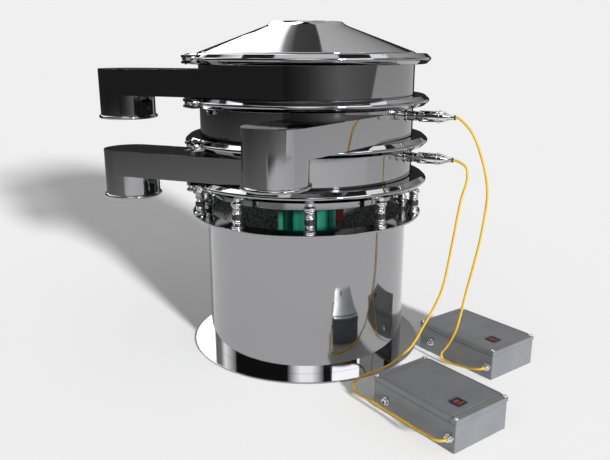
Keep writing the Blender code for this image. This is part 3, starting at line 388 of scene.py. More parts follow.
GLAND_OFFSETS = {"cable": 0.116, "spare": -0.081}


def between(start, end, low, high, time):
    return start + (end - start) * ((time - low) / (high - low))


def smooth_route(points, parts=24):
    """A smooth curve through the points, from the second to the last but one."""
    dense = []
    for index in range(len(points) - 3):
        four = points[index:index + 4]
        knots = [0.0]
        for start, end in zip(four, four[1:]):
            knots.append(knots[-1] + math.sqrt((end - start).length))
        for part in range(parts):
            time = knots[1] + (knots[2] - knots[1]) * part / parts
            first = [between(four[i], four[i + 1], knots[i], knots[i + 1], time)
                     for i in range(3)]
            second = [between(first[i], first[i + 1], knots[i], knots[i + 2], time)
                      for i in range(2)]
            dense.append(between(second[0], second[1], knots[1], knots[2], time))
    return dense + [points[-2]]


def evenly_spaced(dense, step):
    lengths = [0.0]
    for start, end in zip(dense, dense[1:]):
        lengths.append(lengths[-1] + (end - start).length)
    count = round(lengths[-1] / step)
    points = []
    segment = 0
    for index in range(count):
        target = lengths[-1] * index / count
        while lengths[segment + 1] <= target:
            segment += 1
        points.append(between(dense[segment], dense[segment + 1],
                              lengths[segment], lengths[segment + 1], target))
    return points + [dense[-1]]


def tube(path, radius, sides=16):
    """A round tube whose rings are carried along the path without twisting."""
    bm = bmesh.new()
    forward = (path[1] - path[0]).normalized()
    across = forward.orthogonal().normalized()
    levels = []
    for index, point in enumerate(path):
        ahead = path[min(index + 1, len(path) - 1)] - path[max(index - 1, 0)]
        turned_by = forward.rotation_difference(ahead.normalized())
        across = turned_by @ across
        forward = ahead.normalized()
        other = forward.cross(across)
        levels.append([bm.verts.new(point + radius * (across * math.cos(angle)
                                                     + other * math.sin(angle)))
                       for angle in (math.tau * side / sides for side in range(sides))])
    for low, high in zip(levels, levels[1:]):
        for side in range(sides):
            following = (side + 1) % sides
            bm.faces.new((low[side], low[following], high[following], high[side]))
    bm.faces.new(levels[0])
    bm.faces.new(levels[-1])
    return as_mesh(bm)


def generator_place(name):
    centre, angle = GENERATORS[name]
    return Matrix.Translation(centre) @ Matrix.Rotation(angle, 4, "Z")


for name, generator, index in (("upper", "rear", 1), ("lower", "front", 0)):
    plug = turn(SOCKET_ANGLE, FRAME_MIDS[index] + SOCKET_RISE)
    starts = [plug @ Vector((PLUG_END + GAP + lead, 0, 0)) for lead in (0, CABLE_LEAD)]
    gland = generator_place(generator)
    ends = [gland @ Vector((GLAND_OFFSETS["cable"], -GLAND_TIP - GAP - lead, GLAND_HEIGHT))
            for lead in (CABLE_LEAD, 0)]
    chosen = [Vector(point) for point in CABLE_POINTS[name]]
    middle = evenly_spaced(smooth_route([*starts, *chosen, *ends]), 0.004)
    path = [starts[0], *middle, ends[1]]
    cable = piece_of(f"{name}_signal_cable", tube(path, CABLE_RADIUS), yellow_sheath,
                     replaces=(f"{name}_cable",))
    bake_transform(cable)

# %% [markdown]
# ## Base plate, drum and spring ring
#
# These are plain turned shapes. The plate and the spring ring have a small rounding on their outer
# rims, which is what makes the thin bright and dark lines along the edges of sheet metal.

# %% Base
PLATE_RADIUS = 0.337
DRUM_RADIUS = 0.2885
RING_TOP = 0.401
PLATE_TOP = 0.005
PLATE_EDGE = 0.0012
plate_edge = arc((PLATE_RADIUS - PLATE_EDGE, PLATE_EDGE), PLATE_EDGE, -90, 0, 4)
plate_edge += arc((PLATE_RADIUS - PLATE_EDGE, PLATE_TOP - PLATE_EDGE), PLATE_EDGE, 0, 90, 4)
plate = turned([(0, 0), *plate_edge, (0, PLATE_TOP)])
piece_of("foot_plate", plate, mirror_steel, "base", ("base_plate",))

drum = turned([(DRUM_RADIUS - 0.003, 0.0053), (DRUM_RADIUS, 0.0053), (DRUM_RADIUS, 0.3947),
               (DRUM_RADIUS - 0.003, 0.3947)])
drum_piece = piece_of("drum_shell", drum, mirror_steel, "base", ("base_drum",))
drum_piece.data.materials.append(dull_steel)
for face in drum_piece.data.polygons:
    if face.center.xy.length < DRUM_RADIUS - 0.0025:
        face.material_index = 1

# %% Spring ring with its seats
SPRING_COUNT = 10
SPRING_CIRCLE = 0.3135
FIRST_SPRING = math.radians(-88.6)
SPRING_ANGLES = [FIRST_SPRING + math.tau * index / SPRING_COUNT for index in range(SPRING_COUNT)]
RING_SIDES = [0.277, 0.330]
ring_outline = [(RING_SIDES[0], RING_TOP - 0.006)]
ring_outline += arc((RING_SIDES[1] - 0.001, RING_TOP - 0.005), 0.001, -90, 0, 3)
ring_outline += arc((RING_SIDES[1] - 0.001, RING_TOP - 0.001), 0.001, 0, 90, 3)
ring_outline += [(RING_SIDES[0], RING_TOP)]
seat_edge = arc((0.0145, 0.004), 0.001, 0, 90, 3)
seat = turned([(0, GAP), (0.0155, GAP), *seat_edge, (0, 0.005)], 48)
seats = [moved(seat, turn(angle) @ Matrix.Translation((SPRING_CIRCLE, 0, RING_TOP)))
         for angle in SPRING_ANGLES]
piece_of("spring_carrier", turned(ring_outline), mirror_steel, "base", ("spring_ring",))
piece_of("spring_seats", merged(seats), bright_nickel, "base")
print("spring seats", len(seats))

# %% [markdown]
# ## Springs
#
# One Geometry Nodes tree winds a spring: a spiral becomes a wire. A plain ring at each end stands
# for the dead turn that lies on the seat, and a rubber sleeve sits around the middle. Springs
# stretch between the base and the frame.

# %% Spring tree
def make_tree(name, inputs):
    """A new node group with a geometry output and the named inputs. Gives back its parts."""
    tree = bpy.data.node_groups.new(name, "GeometryNodeTree")
    tree.interface.new_socket("Geometry", in_out="OUTPUT", socket_type="NodeSocketGeometry")
    for label, kind, value in inputs:
        socket = tree.interface.new_socket(label, in_out="INPUT", socket_type=kind)
        if value is not None:
            socket.default_value = value
    return tree, tree.nodes.new("NodeGroupInput"), tree.nodes.new("NodeGroupOutput")


def run_tree(tree, values):
    """Runs a tree with these inputs on an empty mesh and gives back the plain result."""
    holder = placed("holder", bpy.data.meshes.new("holder"))
    modifier = holder.modifiers.new("nodes", "NODES")
    modifier.node_group = tree
    for item in tree.interface.items_tree:
        if item.in_out == "INPUT" and item.name in values:
            modifier[item.identifier] = values[item.name]
    holder.update_tag()
    return baked(holder)


def close_tree(tree, shape, given, result):
    """Ends a tree: the copies become real, get their finish and go out."""
    realize = tree.nodes.new("GeometryNodeRealizeInstances")
    coat = tree.nodes.new("GeometryNodeSetMaterial")
    tree.links.new(shape, realize.inputs["Geometry"])
    tree.links.new(realize.outputs["Geometry"], coat.inputs["Geometry"])
    tree.links.new(given.outputs["Finish"], coat.inputs["Material"])
    tree.links.new(coat.outputs["Geometry"], result.inputs["Geometry"])


spring_tree, given, result = make_tree("wound_spring", [
    ("Turns", "NodeSocketFloat", 9.0), ("Coil radius", "NodeSocketFloat", 0.0098),
    ("Length", "NodeSocketFloat", 0.05), ("Wire radius", "NodeSocketFloat", 0.0018),
    ("Finish", "NodeSocketMaterial", None)])
spiral = spring_tree.nodes.new("GeometryNodeCurveSpiral")
spiral.inputs["Resolution"].default_value = 28
wire = spring_tree.nodes.new("GeometryNodeCurvePrimitiveCircle")
wire.inputs["Resolution"].default_value = 10
sweep = spring_tree.nodes.new("GeometryNodeCurveToMesh")
sweep.inputs["Fill Caps"].default_value = True
link = spring_tree.links.new
link(given.outputs["Turns"], spiral.inputs["Rotations"])
link(given.outputs["Coil radius"], spiral.inputs["Start Radius"])
link(given.outputs["Coil radius"], spiral.inputs["End Radius"])
link(given.outputs["Length"], spiral.inputs["Height"])
link(given.outputs["Wire radius"], wire.inputs["Radius"])
link(spiral.outputs["Curve"], sweep.inputs["Curve"])
link(wire.outputs["Curve"], sweep.inputs["Profile Curve"])
close_tree(spring_tree, sweep.outputs["Mesh"], given, result)
print("spring tree nodes", len(spring_tree.nodes))

# %% Ten springs with their sleeves
SPRING_LOW = 0.406
SPRING_HIGH = 0.4655
WIRE = 0.0023
coil = run_tree(spring_tree, {
    "Turns": 11.0, "Coil radius": 0.0106, "Wire radius": WIRE,
    "Length": SPRING_HIGH - SPRING_LOW - 2 * WIRE - 2 * GAP, "Finish": bright_nickel})
coil.polygons.foreach_set("use_smooth", [True] * len(coil.polygons))
END_RING = 0.0034
end_ring = turned([(0.0070, 0), *arc((0.0147, END_RING / 2), END_RING / 2, -90, 90, 8),
                   (0.0070, END_RING)], 48)
sleeve = turned([(0.0080, 0.0205), (0.0126, 0.0205), *arc((0.0126, 0.0217), 0.0012, -60, 0, 3),
                 *arc((0.0126, 0.0325), 0.0012, 0, 60, 3), (0.0126, 0.0337), (0.0080, 0.0337)], 48)
for number, angle in enumerate(SPRING_ANGLES, start=1):
    place = turn(angle, SPRING_LOW) @ Matrix.Translation((SPRING_CIRCLE, 0, 0))
    raised = place @ Matrix.Translation((0, 0, WIRE + GAP))
    rings = [moved(end_ring, place @ Matrix.Translation((0, 0, height)))
             for height in (0.0003, 0.0556)]
    wound = piece_of(f"coil_spring_{number}", merged([moved(coil, raised), *rings]),
                     bright_nickel, replaces=(f"spring_{number}",))
    band = piece_of(f"spring_sleeve_{number}", moved(sleeve, place), black_rubber)
    for part in (wound, band):
        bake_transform(part)
print("springs", number)

# %% [markdown]
# ## Chassis and discharge dome
#
# The chassis hangs on the springs by ten short arms that reach out under the lowest clamp ring.

# %% Chassis
JOINT = JOINTS[0]
chassis_shell = turned([
    (FLANGE_RADIUS, JOINT - FLANGE_END), (FLANGE_RADIUS, JOINT - FLANGE_START),
    (0.268, JOINT - FLANGE_START), (0.268, 0.458), (0.092, 0.458), (0.092, 0.452),
    *arc((0.269, 0.454), 0.002, -90, 0, 4), (0.271, JOINT - FLANGE_END),
])
cap = turned([(0, 0), (0.0150, 0), *arc((0.0150, 0.0005), 0.0005, -90, 0, 2),
              *arc((0.0145, 0.0035), 0.001, 0, 60, 3), (0.0085, 0.008), (0.0085, 0.0161),
              (0, 0.0161)], 48)
arm = rounded(block((-0.0445, -0.007, 0.0061), (0.0, 0.007, 0.0151)), 0.0015)
caps, arms = [], []
for angle in SPRING_ANGLES:
    place = turn(angle, SPRING_HIGH) @ Matrix.Translation((SPRING_CIRCLE, 0, 0))
    caps.append(moved(cap, place))
    arms.append(moved(arm, place))
piece_of("chassis_shell", merged([chassis_shell, *arms]), mirror_steel, "vibrating_frame",
         ("chassis",))
piece_of("spring_caps", merged(caps), bright_nickel, "vibrating_frame")
print("arms", len(arms))

# %% [markdown]
# ## Sieve frames with their tangential outlets
#
# A frame is a thin turned ring with a flange at each end. Its outlet is a flat duct whose front
# wall is flush with the ring, and whose round end turns down into a spout with a rolled rim.
# Both are made solid, joined, and then hollowed by a shape that is one wall smaller.

# %% Outlet shape
SPOUT_DISTANCE = 0.4436
SPOUT_RADIUS = 0.0744
SPOUT_END = -0.105
DUCT_TOP = 0.0285
DUCT_BOTTOM = -0.0398
BEAD_HEIGHT = 0.010
BEAD_WIDTH = 0.0053
BEAD_STEPS = 12
WALL_PLANE = 0.2997


def circle_of(bm, centre, radius, height, count):
    points = []
    for index in range(count):
        angle = math.tau * index / count - math.pi / 2
        points.append(bm.verts.new((centre.x + radius * math.cos(angle),
                                    centre.y + radius * math.sin(angle), height)))
    return points


def outlet_shape(inset, end, bead, count=96):
    """The solid form of an outlet along -X, one wall smaller when it is the hollow."""
    bm = bmesh.new()
    radius = SPOUT_RADIUS - inset
    plane = WALL_PLANE - inset
    low, high = DUCT_BOTTOM + inset, DUCT_TOP - inset
    centre = Vector((-SPOUT_DISTANCE, SPOUT_RADIUS - WALL_PLANE, 0))
    half = count // 2
    mouth = circle_of(bm, centre, radius, low, count)
    outer_side = [mouth[index % count] for index in range(count, half - 1, -1)]
    inner_side = mouth[:half + 1]
    back = centre.y + radius
    start_low = [bm.verts.new((0, -plane, low)), bm.verts.new((0, back, low))]
    bm.faces.new([start_low[0], *inner_side, start_low[1]])
    rim_low = [start_low[0], *outer_side, start_low[1]]
    rim_high = [bm.verts.new((vert.co.x, vert.co.y, high)) for vert in rim_low]
    bm.faces.new(rim_high)
    for index in range(len(rim_low)):
        following = (index + 1) % len(rim_low)
        bm.faces.new((rim_low[index], rim_low[following], rim_high[following], rim_high[index]))
    steps = [(radius, end)]
    if bead:
        steps = []
        for step in range(BEAD_STEPS + 1):
            angle = math.pi * step / BEAD_STEPS
            steps.append((radius + BEAD_WIDTH * math.sin(angle),
                          end + BEAD_HEIGHT / 2 * (1 + math.cos(angle))))
    level = mouth
    for size, height in steps:
        following_level = circle_of(bm, centre, size, height, count)
        for index in range(count):
            following = (index + 1) % count
            bm.faces.new((level[index], level[following],
                          following_level[following], following_level[index]))
        level = following_level
    bm.faces.new(level)
    return as_mesh(bm)


# %% Three frames
HALF = JOINT_PITCH / 2 - FLANGE_START
UNDER = HALF - 0.0045
OUTLET_ANGLES = {"bottom": -22.5, "middle": 55.25, "top": -22.5}
SOCKET_HOLE = 0.0105


def frame_shell(socket_angle):
    shell = turned([(0, -HALF), (FLANGE_RADIUS, -HALF), (FLANGE_RADIUS, -UNDER),
                    (FRAME_RADIUS, -UNDER), (FRAME_RADIUS, UNDER), (FLANGE_RADIUS, UNDER),
                    (FLANGE_RADIUS, HALF), (0, HALF)])
    shell = joined(shell, rounded(outlet_shape(0, SPOUT_END, True), 0.0009, 2, math.radians(60)))
    shell = cut(shell, rod(FRAME_RADIUS - STEEL_WALL, -HALF - 0.01, HALF + 0.01))
    shell = cut(shell, outlet_shape(STEEL_WALL, SPOUT_END - 0.01, False))
    if socket_angle is not None:
        hole = rod(SOCKET_HOLE, 0.28, 0.32, 32, "X")
        shell = cut(shell, moved(hole, turn(socket_angle, SOCKET_RISE)))
    return shell


for index, (name, degrees) in enumerate(OUTLET_ANGLES.items()):
    angle = math.radians(degrees)
    socket_angle = None if name == "top" else SOCKET_ANGLE - angle
    shell = moved(frame_shell(socket_angle), turn(angle, FRAME_MIDS[index]))
    piece_of(f"{name}_frame_shell", shell, mirror_steel, "vibrating_frame",
             (f"{name}_frame", f"{name}_outlet"))
    print(name, len(shell.polygons), "faces")

# %% [markdown]
# ## Lid
#
# The cone meets its short neck through a hollow curve. That curve gathers the reflections of
# the whole room into thin bright and dark lines, so it gets many steps.

# %% Lid
LID = JOINTS[3]
NECK = 0.0986
CONE_LOW = FLANGE_END + 0.0073
CONE_RISE = 0.0747
SLOPE = CONE_RISE / (FRAME_RADIUS - NECK)
DROP = STEEL_WALL * math.sqrt(1 + SLOPE ** 2)
upper, under = [], []
for step in range(17):
    share = step / 16
    run = 0.018 * (1 - share)
    height = CONE_LOW + CONE_RISE - SLOPE * run + 0.0049 * share ** 2
    upper.append((NECK + run, LID + height))
    under.append((NECK + run - STEEL_WALL * share, LID + height - DROP * (1 - share)))
corner = arc((FRAME_RADIUS - 0.0025, LID + CONE_LOW - 0.0022), 0.0025, 0, 68, 5)
FLANGE_RIM = FLANGE_RADIUS - 0.0045
lid_shell = turned([
    (FLANGE_RIM, LID - 0.005), (FLANGE_RADIUS, LID - 0.005), (FLANGE_RADIUS, LID + FLANGE_END),
    (FRAME_RADIUS, LID + FLANGE_END), *corner, *upper, *under[::-1],
    (FRAME_RADIUS - STEEL_WALL, LID + CONE_LOW - DROP),
    (FRAME_RADIUS - STEEL_WALL, LID + FLANGE_START), (FLANGE_RIM, LID + FLANGE_START),
])
piece_of("lid_shell", lid_shell, mirror_steel, "vibrating_frame", ("lid",))
print("lid faces", len(lid_shell.polygons))

# %% [markdown]
# ## Clamp rings and swing bolts
#
# A clamp ring is a channel with a blunt V nose that squeezes two flanges together. It is split
# at its closure, where a swing bolt with a hexagon nut pulls a forked lug and a slotted lug.

# %% Clamp ring
LIP_LOW = FLANGE_END + GAP
LIP_HIGH = LIP_LOW + 0.0036
SHOULDER = 0.3280
NOSE = 0.3364
BOLT_CIRCLE = 0.354
LUG_HALF = 0.0115
PIN_AT = 0.021
NUT_SEAT = 0.049
CLOSURE_ANGLE = math.radians(213.75)
LIP_INSIDE = 0.3055
BEND = 0.0055
section = [(LIP_INSIDE, LIP_LOW), (LIP_INSIDE, LIP_HIGH),
           *arc((SHOULDER, LIP_HIGH - BEND), BEND, 90, 48, 8),
           *arc((NOSE, 0), 0.0060, 42, -42, 14),
           *arc((SHOULDER, BEND - LIP_HIGH), BEND, -48, -90, 8), (LIP_INSIDE, -LIP_HIGH),
           (LIP_INSIDE, -LIP_LOW), (0.329, -LIP_LOW), (0.3370, -0.0050), (0.3390, -0.0015),
           (0.3390, 0.0015), (0.3370, 0.0050), (0.329, LIP_LOW)]
clamp = cut(turned(section), block((0.30, -0.006, -0.03), (0.40, 0.006, 0.03)))
fork = rounded(block((0.333, -0.028, -LUG_HALF), (0.3645, -0.010, LUG_HALF)), 0.0016)
fork = cut(fork, block((0.345, -0.10, -0.0044), (0.40, 0.10, 0.0044)))
pin_edge = arc((0.0022, 0.0124), 0.0008, 0, 90, 3)
pin = turned([(0, -0.0132), (0.0030, -0.0132), *pin_edge, (0, 0.0132)], 32)
lug = rounded(block((0.333, 0.010, -LUG_HALF), (0.3645, 0.0274, LUG_HALF)), 0.0016)
lug = cut(lug, block((0.3504, -0.10, -0.0036), (0.40, 0.10, 0.0036)))
pin = moved(pin, Matrix.Translation((BOLT_CIRCLE, -PIN_AT, 0)))
clamp = merged([clamp, fork, pin, lug])
print("clamp faces", len(clamp.polygons))

# %% Swing bolt
THREAD_START = 0.014
THREAD_END = NUT_SEAT + 0.013
THREAD_PITCH = 0.001
thread = []
turns = round((THREAD_END - THREAD_START) / THREAD_PITCH)
for step in range(turns):
    height = THREAD_START + THREAD_PITCH * step
    thread += [(0.0026, height), (0.0030, height + THREAD_PITCH / 2)]
shank = turned([(0, 0.0055), (0.0028, 0.0055), *thread, (0.0024, THREAD_END), (0, THREAD_END)],
               24, "Y")
eye = turned([(0.0034, -0.0041), *arc((0.0072, -0.0033), 0.0008, -90, 0, 3),
              *arc((0.0072, 0.0033), 0.0008, 0, 90, 3), (0.0034, 0.0041)], 40)
NUT_LOW = NUT_SEAT + GAP
washer = turned([(0.0031, NUT_LOW), (0.0075, NUT_LOW), (0.0075, NUT_LOW + 0.0015),
                 (0.0031, NUT_LOW + 0.0015)], 40, "Y")
nut = rounded(turned([(0, NUT_LOW + 0.0015), (0.0065, NUT_LOW + 0.0015),
                      (0.0065, NUT_LOW + 0.0080), (0, NUT_LOW + 0.0080)], 6, "Y"), 0.0006)
bolt = merged([eye, shank, washer, nut])

for index, name in enumerate(("chassis", "lower", "upper", "lid")):
    place = turn(CLOSURE_ANGLE, JOINTS[index])
    piece_of(f"{name}_clamp", moved(clamp, place), mirror_steel, "vibrating_frame",
             (f"{name}_clamp_ring",))
    at_pin = place @ Matrix.Translation((BOLT_CIRCLE, -PIN_AT, 0))
    piece_of(f"{name}_swing_bolt", moved(bolt, at_pin), bright_nickel, f"{name}_bolt",
             (f"{name}_clamp_bolt",))
print("clamp rings", index + 1, "thread turns", turns)

# %% [markdown]
# ## Motor
#
# The motor is seen through the gap between the springs. Its cooling fins are one small block,
# repeated around the axis by a Geometry Nodes tree.

# %% Repeat tree
def add_copies(tree, given, points, turned_by):
    """Copies of the source object on the points, each turned about Z."""
    source = tree.nodes.new("GeometryNodeObjectInfo")
    copies = tree.nodes.new("GeometryNodeInstanceOnPoints")
    spin = tree.nodes.new("ShaderNodeCombineXYZ")
    tree.links.new(given.outputs["Source"], source.inputs["Object"])
    tree.links.new(points, copies.inputs["Points"])
    tree.links.new(source.outputs["Geometry"], copies.inputs["Instance"])
    tree.links.new(turned_by, spin.inputs["Z"])
    tree.links.new(spin.outputs["Vector"], copies.inputs["Rotation"])
    return copies.outputs["Instances"]


def copy_around(tree, source_mesh, values):
    """Runs a tree that copies a source, which is in the scene only while the tree runs."""
    source = placed("source", source_mesh)
    mesh = run_tree(tree, {"Source": source, **values})
    bpy.data.objects.remove(source)
    return mesh


repeat_tree, given, result = make_tree("repeat_around", [
    ("Copies", "NodeSocketInt", 8), ("First angle", "NodeSocketFloat", 0.0),
    ("Step", "NodeSocketFloat", 0.785), ("Source", "NodeSocketObject", None),
    ("Finish", "NodeSocketMaterial", None)])
line = repeat_tree.nodes.new("GeometryNodeMeshLine")
line.inputs["Offset"].default_value = (0, 0, 0)
number_node = repeat_tree.nodes.new("GeometryNodeInputIndex")
angle_node = repeat_tree.nodes.new("ShaderNodeMath")
angle_node.operation = "MULTIPLY_ADD"
link = repeat_tree.links.new
link(given.outputs["Copies"], line.inputs["Count"])
link(number_node.outputs["Index"], angle_node.inputs[0])
link(given.outputs["Step"], angle_node.inputs[1])
link(given.outputs["First angle"], angle_node.inputs[2])
around = add_copies(repeat_tree, given, line.outputs["Mesh"], angle_node.outputs["Value"])
close_tree(repeat_tree, around, given, result)
print("repeat tree nodes", len(repeat_tree.nodes))

# %% Motor housing
MOTOR_TOP = 0.4517
MOTOR_LOW = 0.262
FINS = 8
motor_body = turned([
    (0.046, MOTOR_LOW), (0.075, MOTOR_LOW), *arc((0.075, MOTOR_LOW + 0.001), 0.001, -90, 0, 3),
    (0.076, 0.4397), *arc((0.080, 0.4397), 0.004, 180, 90, 5), (0.111, 0.4437),
    *arc((0.111, 0.4447), 0.001, -90, 0, 3), (0.112, MOTOR_TOP), (0.0128, MOTOR_TOP),
    (0.0128, 0.4257), (0.046, 0.4257),
], 128)
fin = rounded(block((0.072, -0.0045, 0.274), (0.090, 0.0045, 0.4317)), 0.0010)
fins = copy_around(repeat_tree, fin, {"Copies": FINS, "First angle": math.pi / FINS,
                                      "Step": math.tau / FINS, "Finish": green_paint})
pad = rounded(block((0.068, -0.020, 0.367), (0.080, 0.020, 0.391)), 0.001)
piece_of("motor_body", merged([motor_body, fins, pad]), green_paint, "vibrating_frame",
         ("motor_housing",))
# The terminal box's red finish carries painted shade for the dark gap it sits in.
box_mesh = rounded(block((0.0803, -0.026, 0.361), (0.1083, 0.026, 0.397)), 0.0025)
piece_of("terminal_box", box_mesh, red_paint, "vibrating_frame", ("motor_terminal_box",))
print("fins", FINS, "faces", len(fins.polygons))

# %% [markdown]
# ## Sockets and plugs
#
# Both are lathe-turned parts along the X axis, with rounded edges and a few grip grooves.

# %% Sockets and plugs
def groove(radius, start, depth, width):
    """Points of a small V groove in a turned part."""
    return [(radius, start), (radius - depth, start + width / 2), (radius, start + width)]


socket = turned([
    (0, 0.0303), (0.005, 0.0303), (0.005, 0.2911), (0.0135, 0.2911), (0.0135, 0.2946),
    (0.0102, 0.2946), (0.0102, 0.3003), (0.0147, 0.3003), *arc((0.0147, 0.3011), 0.0008, -90, 0, 3),
    *arc((0.0147, 0.3030), 0.0008, 0, 90, 3), (0.0128, 0.3038), (0.0128, 0.3225),
    *groove(0.0128, 0.3240, 0.0016, 0.0022), (0.0118, 0.3265), (0.0118, 0.3350), (0, 0.3350),
], 96, "X")
plug_tail = turned([
    (0, 0.3353), (0.0134, 0.3353), *arc((0.0134, 0.3365), 0.0012, -90, 0, 4),
    *groove(0.0146, 0.3420, 0.0012, 0.0016), (0.0146, 0.3860), (0.0139, 0.3865),
    (0.0139, 0.3872), (0.0162, 0.3878), *arc((0.0162, 0.3886), 0.0008, -90, 0, 3),
    *arc((0.0162, 0.3896), 0.0008, 0, 90, 3), (0.0139, 0.3906), (0.0139, 0.3990),
    *arc((0.0109, 0.4000), 0.0030, 0, 45, 4), (0.0068, 0.4170), (0.0066, 0.4285), (0, 0.4285),
], 96, "X")
tail_ring = turned([(0.0036, 0.4288), (0.0066, 0.4288), (0.0062, 0.4310), (0.0036, 0.4310)], 48,
                   "X")
for index, name in enumerate(("lower", "upper")):
    place = turn(SOCKET_ANGLE, FRAME_MIDS[index] + SOCKET_RISE)
    piece_of(f"{name}_panel_socket", moved(socket, place), bright_nickel, "vibrating_frame",
             (f"{name}_socket",))
    piece_of(f"{name}_cable_plug", moved(plug_tail, place), bright_nickel, "vibrating_frame",
             (f"{name}_plug",))
    piece_of(f"{name}_plug_boot", moved(tail_ring, place), black_rubber, "vibrating_frame")
print("plugs", index + 1)

# %% [markdown]
# ## Drive boxes
#
# Each box is a folded case with a tray lid. The lid is a step lower over a strip at both ends,
# carries a rocker switch, and is held by a shiny screw at each corner. One screw is turned on the
# lathe, cut with a cross slot and set on the four corners by a Geometry Nodes tree.

# %% Screw tree
corner_tree, given, result = make_tree("four_corners", [
    ("Length", "NodeSocketFloat", 0.25), ("Width", "NodeSocketFloat", 0.165),
    ("Source", "NodeSocketObject", None), ("Finish", "NodeSocketMaterial", None)])
grid = corner_tree.nodes.new("GeometryNodeMeshGrid")
grid.inputs["Vertices X"].default_value = 2
grid.inputs["Vertices Y"].default_value = 2
wander = corner_tree.nodes.new("FunctionNodeRandomValue")
wander.inputs["Seed"].default_value = 7
link = corner_tree.links.new
link(given.outputs["Length"], grid.inputs["Size X"])
link(given.outputs["Width"], grid.inputs["Size Y"])
corners = add_copies(corner_tree, given, grid.outputs["Mesh"], wander.outputs[1])
close_tree(corner_tree, corners, given, result)
print("screw tree nodes", len(corner_tree.nodes))

# %% Drive box shells
HALF_LENGTH = 0.131
HALF_WIDTH = 0.0885
BOX_TOP = 0.0837
SPLIT = 0.070
STRIP = 0.020
STEP_IN = 0.0015
WALL_IN = 0.0045
GLAND_WALL = STEP_IN - HALF_WIDTH
SWITCH_PLACE = (0.081, -0.026)
SWITCH_HALF = (0.0132, 0.0138)
case = rounded(block((STEP_IN - HALF_LENGTH, STEP_IN - HALF_WIDTH, 0),
                     (HALF_LENGTH - STEP_IN, HALF_WIDTH - STEP_IN, SPLIT - GAP)), 0.0028)
case = cut(case, block((WALL_IN - HALF_LENGTH, WALL_IN - HALF_WIDTH, 0.003),
                       (HALF_LENGTH - WALL_IN, HALF_WIDTH - WALL_IN, 0.1)))
for offset in GLAND_OFFSETS.values():
    hole = rod(0.0063, -0.02, 0.02, 32, "Y")
    case = cut(case, moved(hole, Matrix.Translation((offset, GLAND_WALL, GLAND_HEIGHT))))

# %% Drive box lids
lid_half = HALF_LENGTH - STRIP
tray = rounded(block((-lid_half - 0.004, -HALF_WIDTH, SPLIT),
                     (lid_half + 0.004, HALF_WIDTH, BOX_TOP)), 0.0018)
tray = cut(tray, block((-0.2, -HALF_WIDTH + 0.0062, BOX_TOP - 0.0008),
                       (0.2, -HALF_WIDTH + 0.0080, BOX_TOP + 0.01)))
tray = cut(tray, block((-0.2, HALF_WIDTH - 0.0080, BOX_TOP - 0.0008),
                       (0.2, HALF_WIDTH - 0.0062, BOX_TOP + 0.01)))
tray = cut(tray, block((-0.2, -0.2, SPLIT - 0.01), (-lid_half, 0.2, 0.2)))
tray = cut(tray, block((lid_half, -0.2, SPLIT - 0.01), (0.2, 0.2, 0.2)))
ends = []
for side in (-1, 1):
    low = min(side * lid_half, side * HALF_LENGTH)
    high = max(side * lid_half, side * HALF_LENGTH)
    ends.append(rounded(block((low, -HALF_WIDTH, SPLIT), (high, HALF_WIDTH, BOX_TOP - 0.0015)),
                        0.0022))
inside = block((WALL_IN - HALF_LENGTH, WALL_IN - HALF_WIDTH, SPLIT - 0.01),
               (HALF_LENGTH - WALL_IN, HALF_WIDTH - WALL_IN, BOX_TOP - 0.003))
switch_low = [middle - half for middle, half in zip(SWITCH_PLACE, SWITCH_HALF)]
switch_high = [middle + half for middle, half in zip(SWITCH_PLACE, SWITCH_HALF)]
switch_hole = block((*switch_low, SPLIT - 0.01), (*switch_high, BOX_TOP + 0.01))
tray = cut(cut(tray, inside), switch_hole)
lid_mesh = merged([tray, *[cut(end, inside) for end in ends]])
print("case faces", len(case.polygons), "lid faces", len(lid_mesh.polygons))

# %% Lid screws
SCREW_IN = 0.0062
head = turned([(0, 0), (0.0052, 0), (0.0052, 0.0008), *arc((0.0030, 0.0008), 0.0022, 0, 90, 6),
               (0, 0.0030)], 40)
head = cut(head, block((-0.0032, -0.0005, 0.0020), (0.0032, 0.0005, 0.01)))
head = cut(head, block((-0.0005, -0.0032, 0.0021), (0.0005, 0.0032, 0.01)))
screws = copy_around(corner_tree, head, {"Length": 2 * (HALF_LENGTH - SCREW_IN),
                                         "Width": 2 * (HALF_WIDTH - SCREW_IN),
                                         "Finish": bright_nickel})
screws = moved(screws, Matrix.Translation((0, 0, BOX_TOP - 0.0014)))
print("screw faces", len(screws.polygons))

# %% Switches and glands
bezel = rounded(block((-0.015, -0.0155, GAP), (0.015, 0.0155, 0.0025)), 0.0009)
well = block((-0.013, -0.0135, -0.014), (0.013, 0.0135, 0.001))
bezel = merged([cut(bezel, block((-0.0098, -0.0093, -0.011), (0.0098, 0.0093, 0.05))),
                cut(well, block((-0.0098, -0.0093, -0.011), (0.0098, 0.0093, 0.05)))])
rocker_bm = bmesh.new()
profile = [(-0.009, -0.004), (-0.0036, -0.007), (0.0036, -0.007), (0.009, -0.004)]
profile += [(0.009 - 0.018 * step / 12, 0.0012 + 0.0018 * ((step - 6) / 6) ** 2)
            for step in range(13)]
face = rocker_bm.faces.new([rocker_bm.verts.new((x, -0.009, z)) for x, z in profile])
pulled = bmesh.ops.extrude_face_region(rocker_bm, geom=[face])["geom"]
bmesh.ops.translate(rocker_bm, vec=(0, 0.018, 0),
                    verts=[item for item in pulled if isinstance(item, bmesh.types.BMVert)])
rocker = rounded(as_mesh(rocker_bm), 0.0006)
gland = turned([
    (0, -0.0073), (0.009, -0.0073), (0.009, -0.0033), (0.006, -0.0033), (0.006, 0.0003),
    (0.0094, 0.0003), *arc((0.0094, 0.0009), 0.0006, -90, 0, 3),
    *arc((0.0094, 0.0059), 0.0006, 0, 90, 3), (0.0080, 0.0066), (0.0080, 0.0085),
    *arc((0.0066, 0.0126), 0.0014, 0, 90, 4), (0.0044, 0.0140), (0.0040, 0.0120), (0, 0.0120),
], 64, "Y")
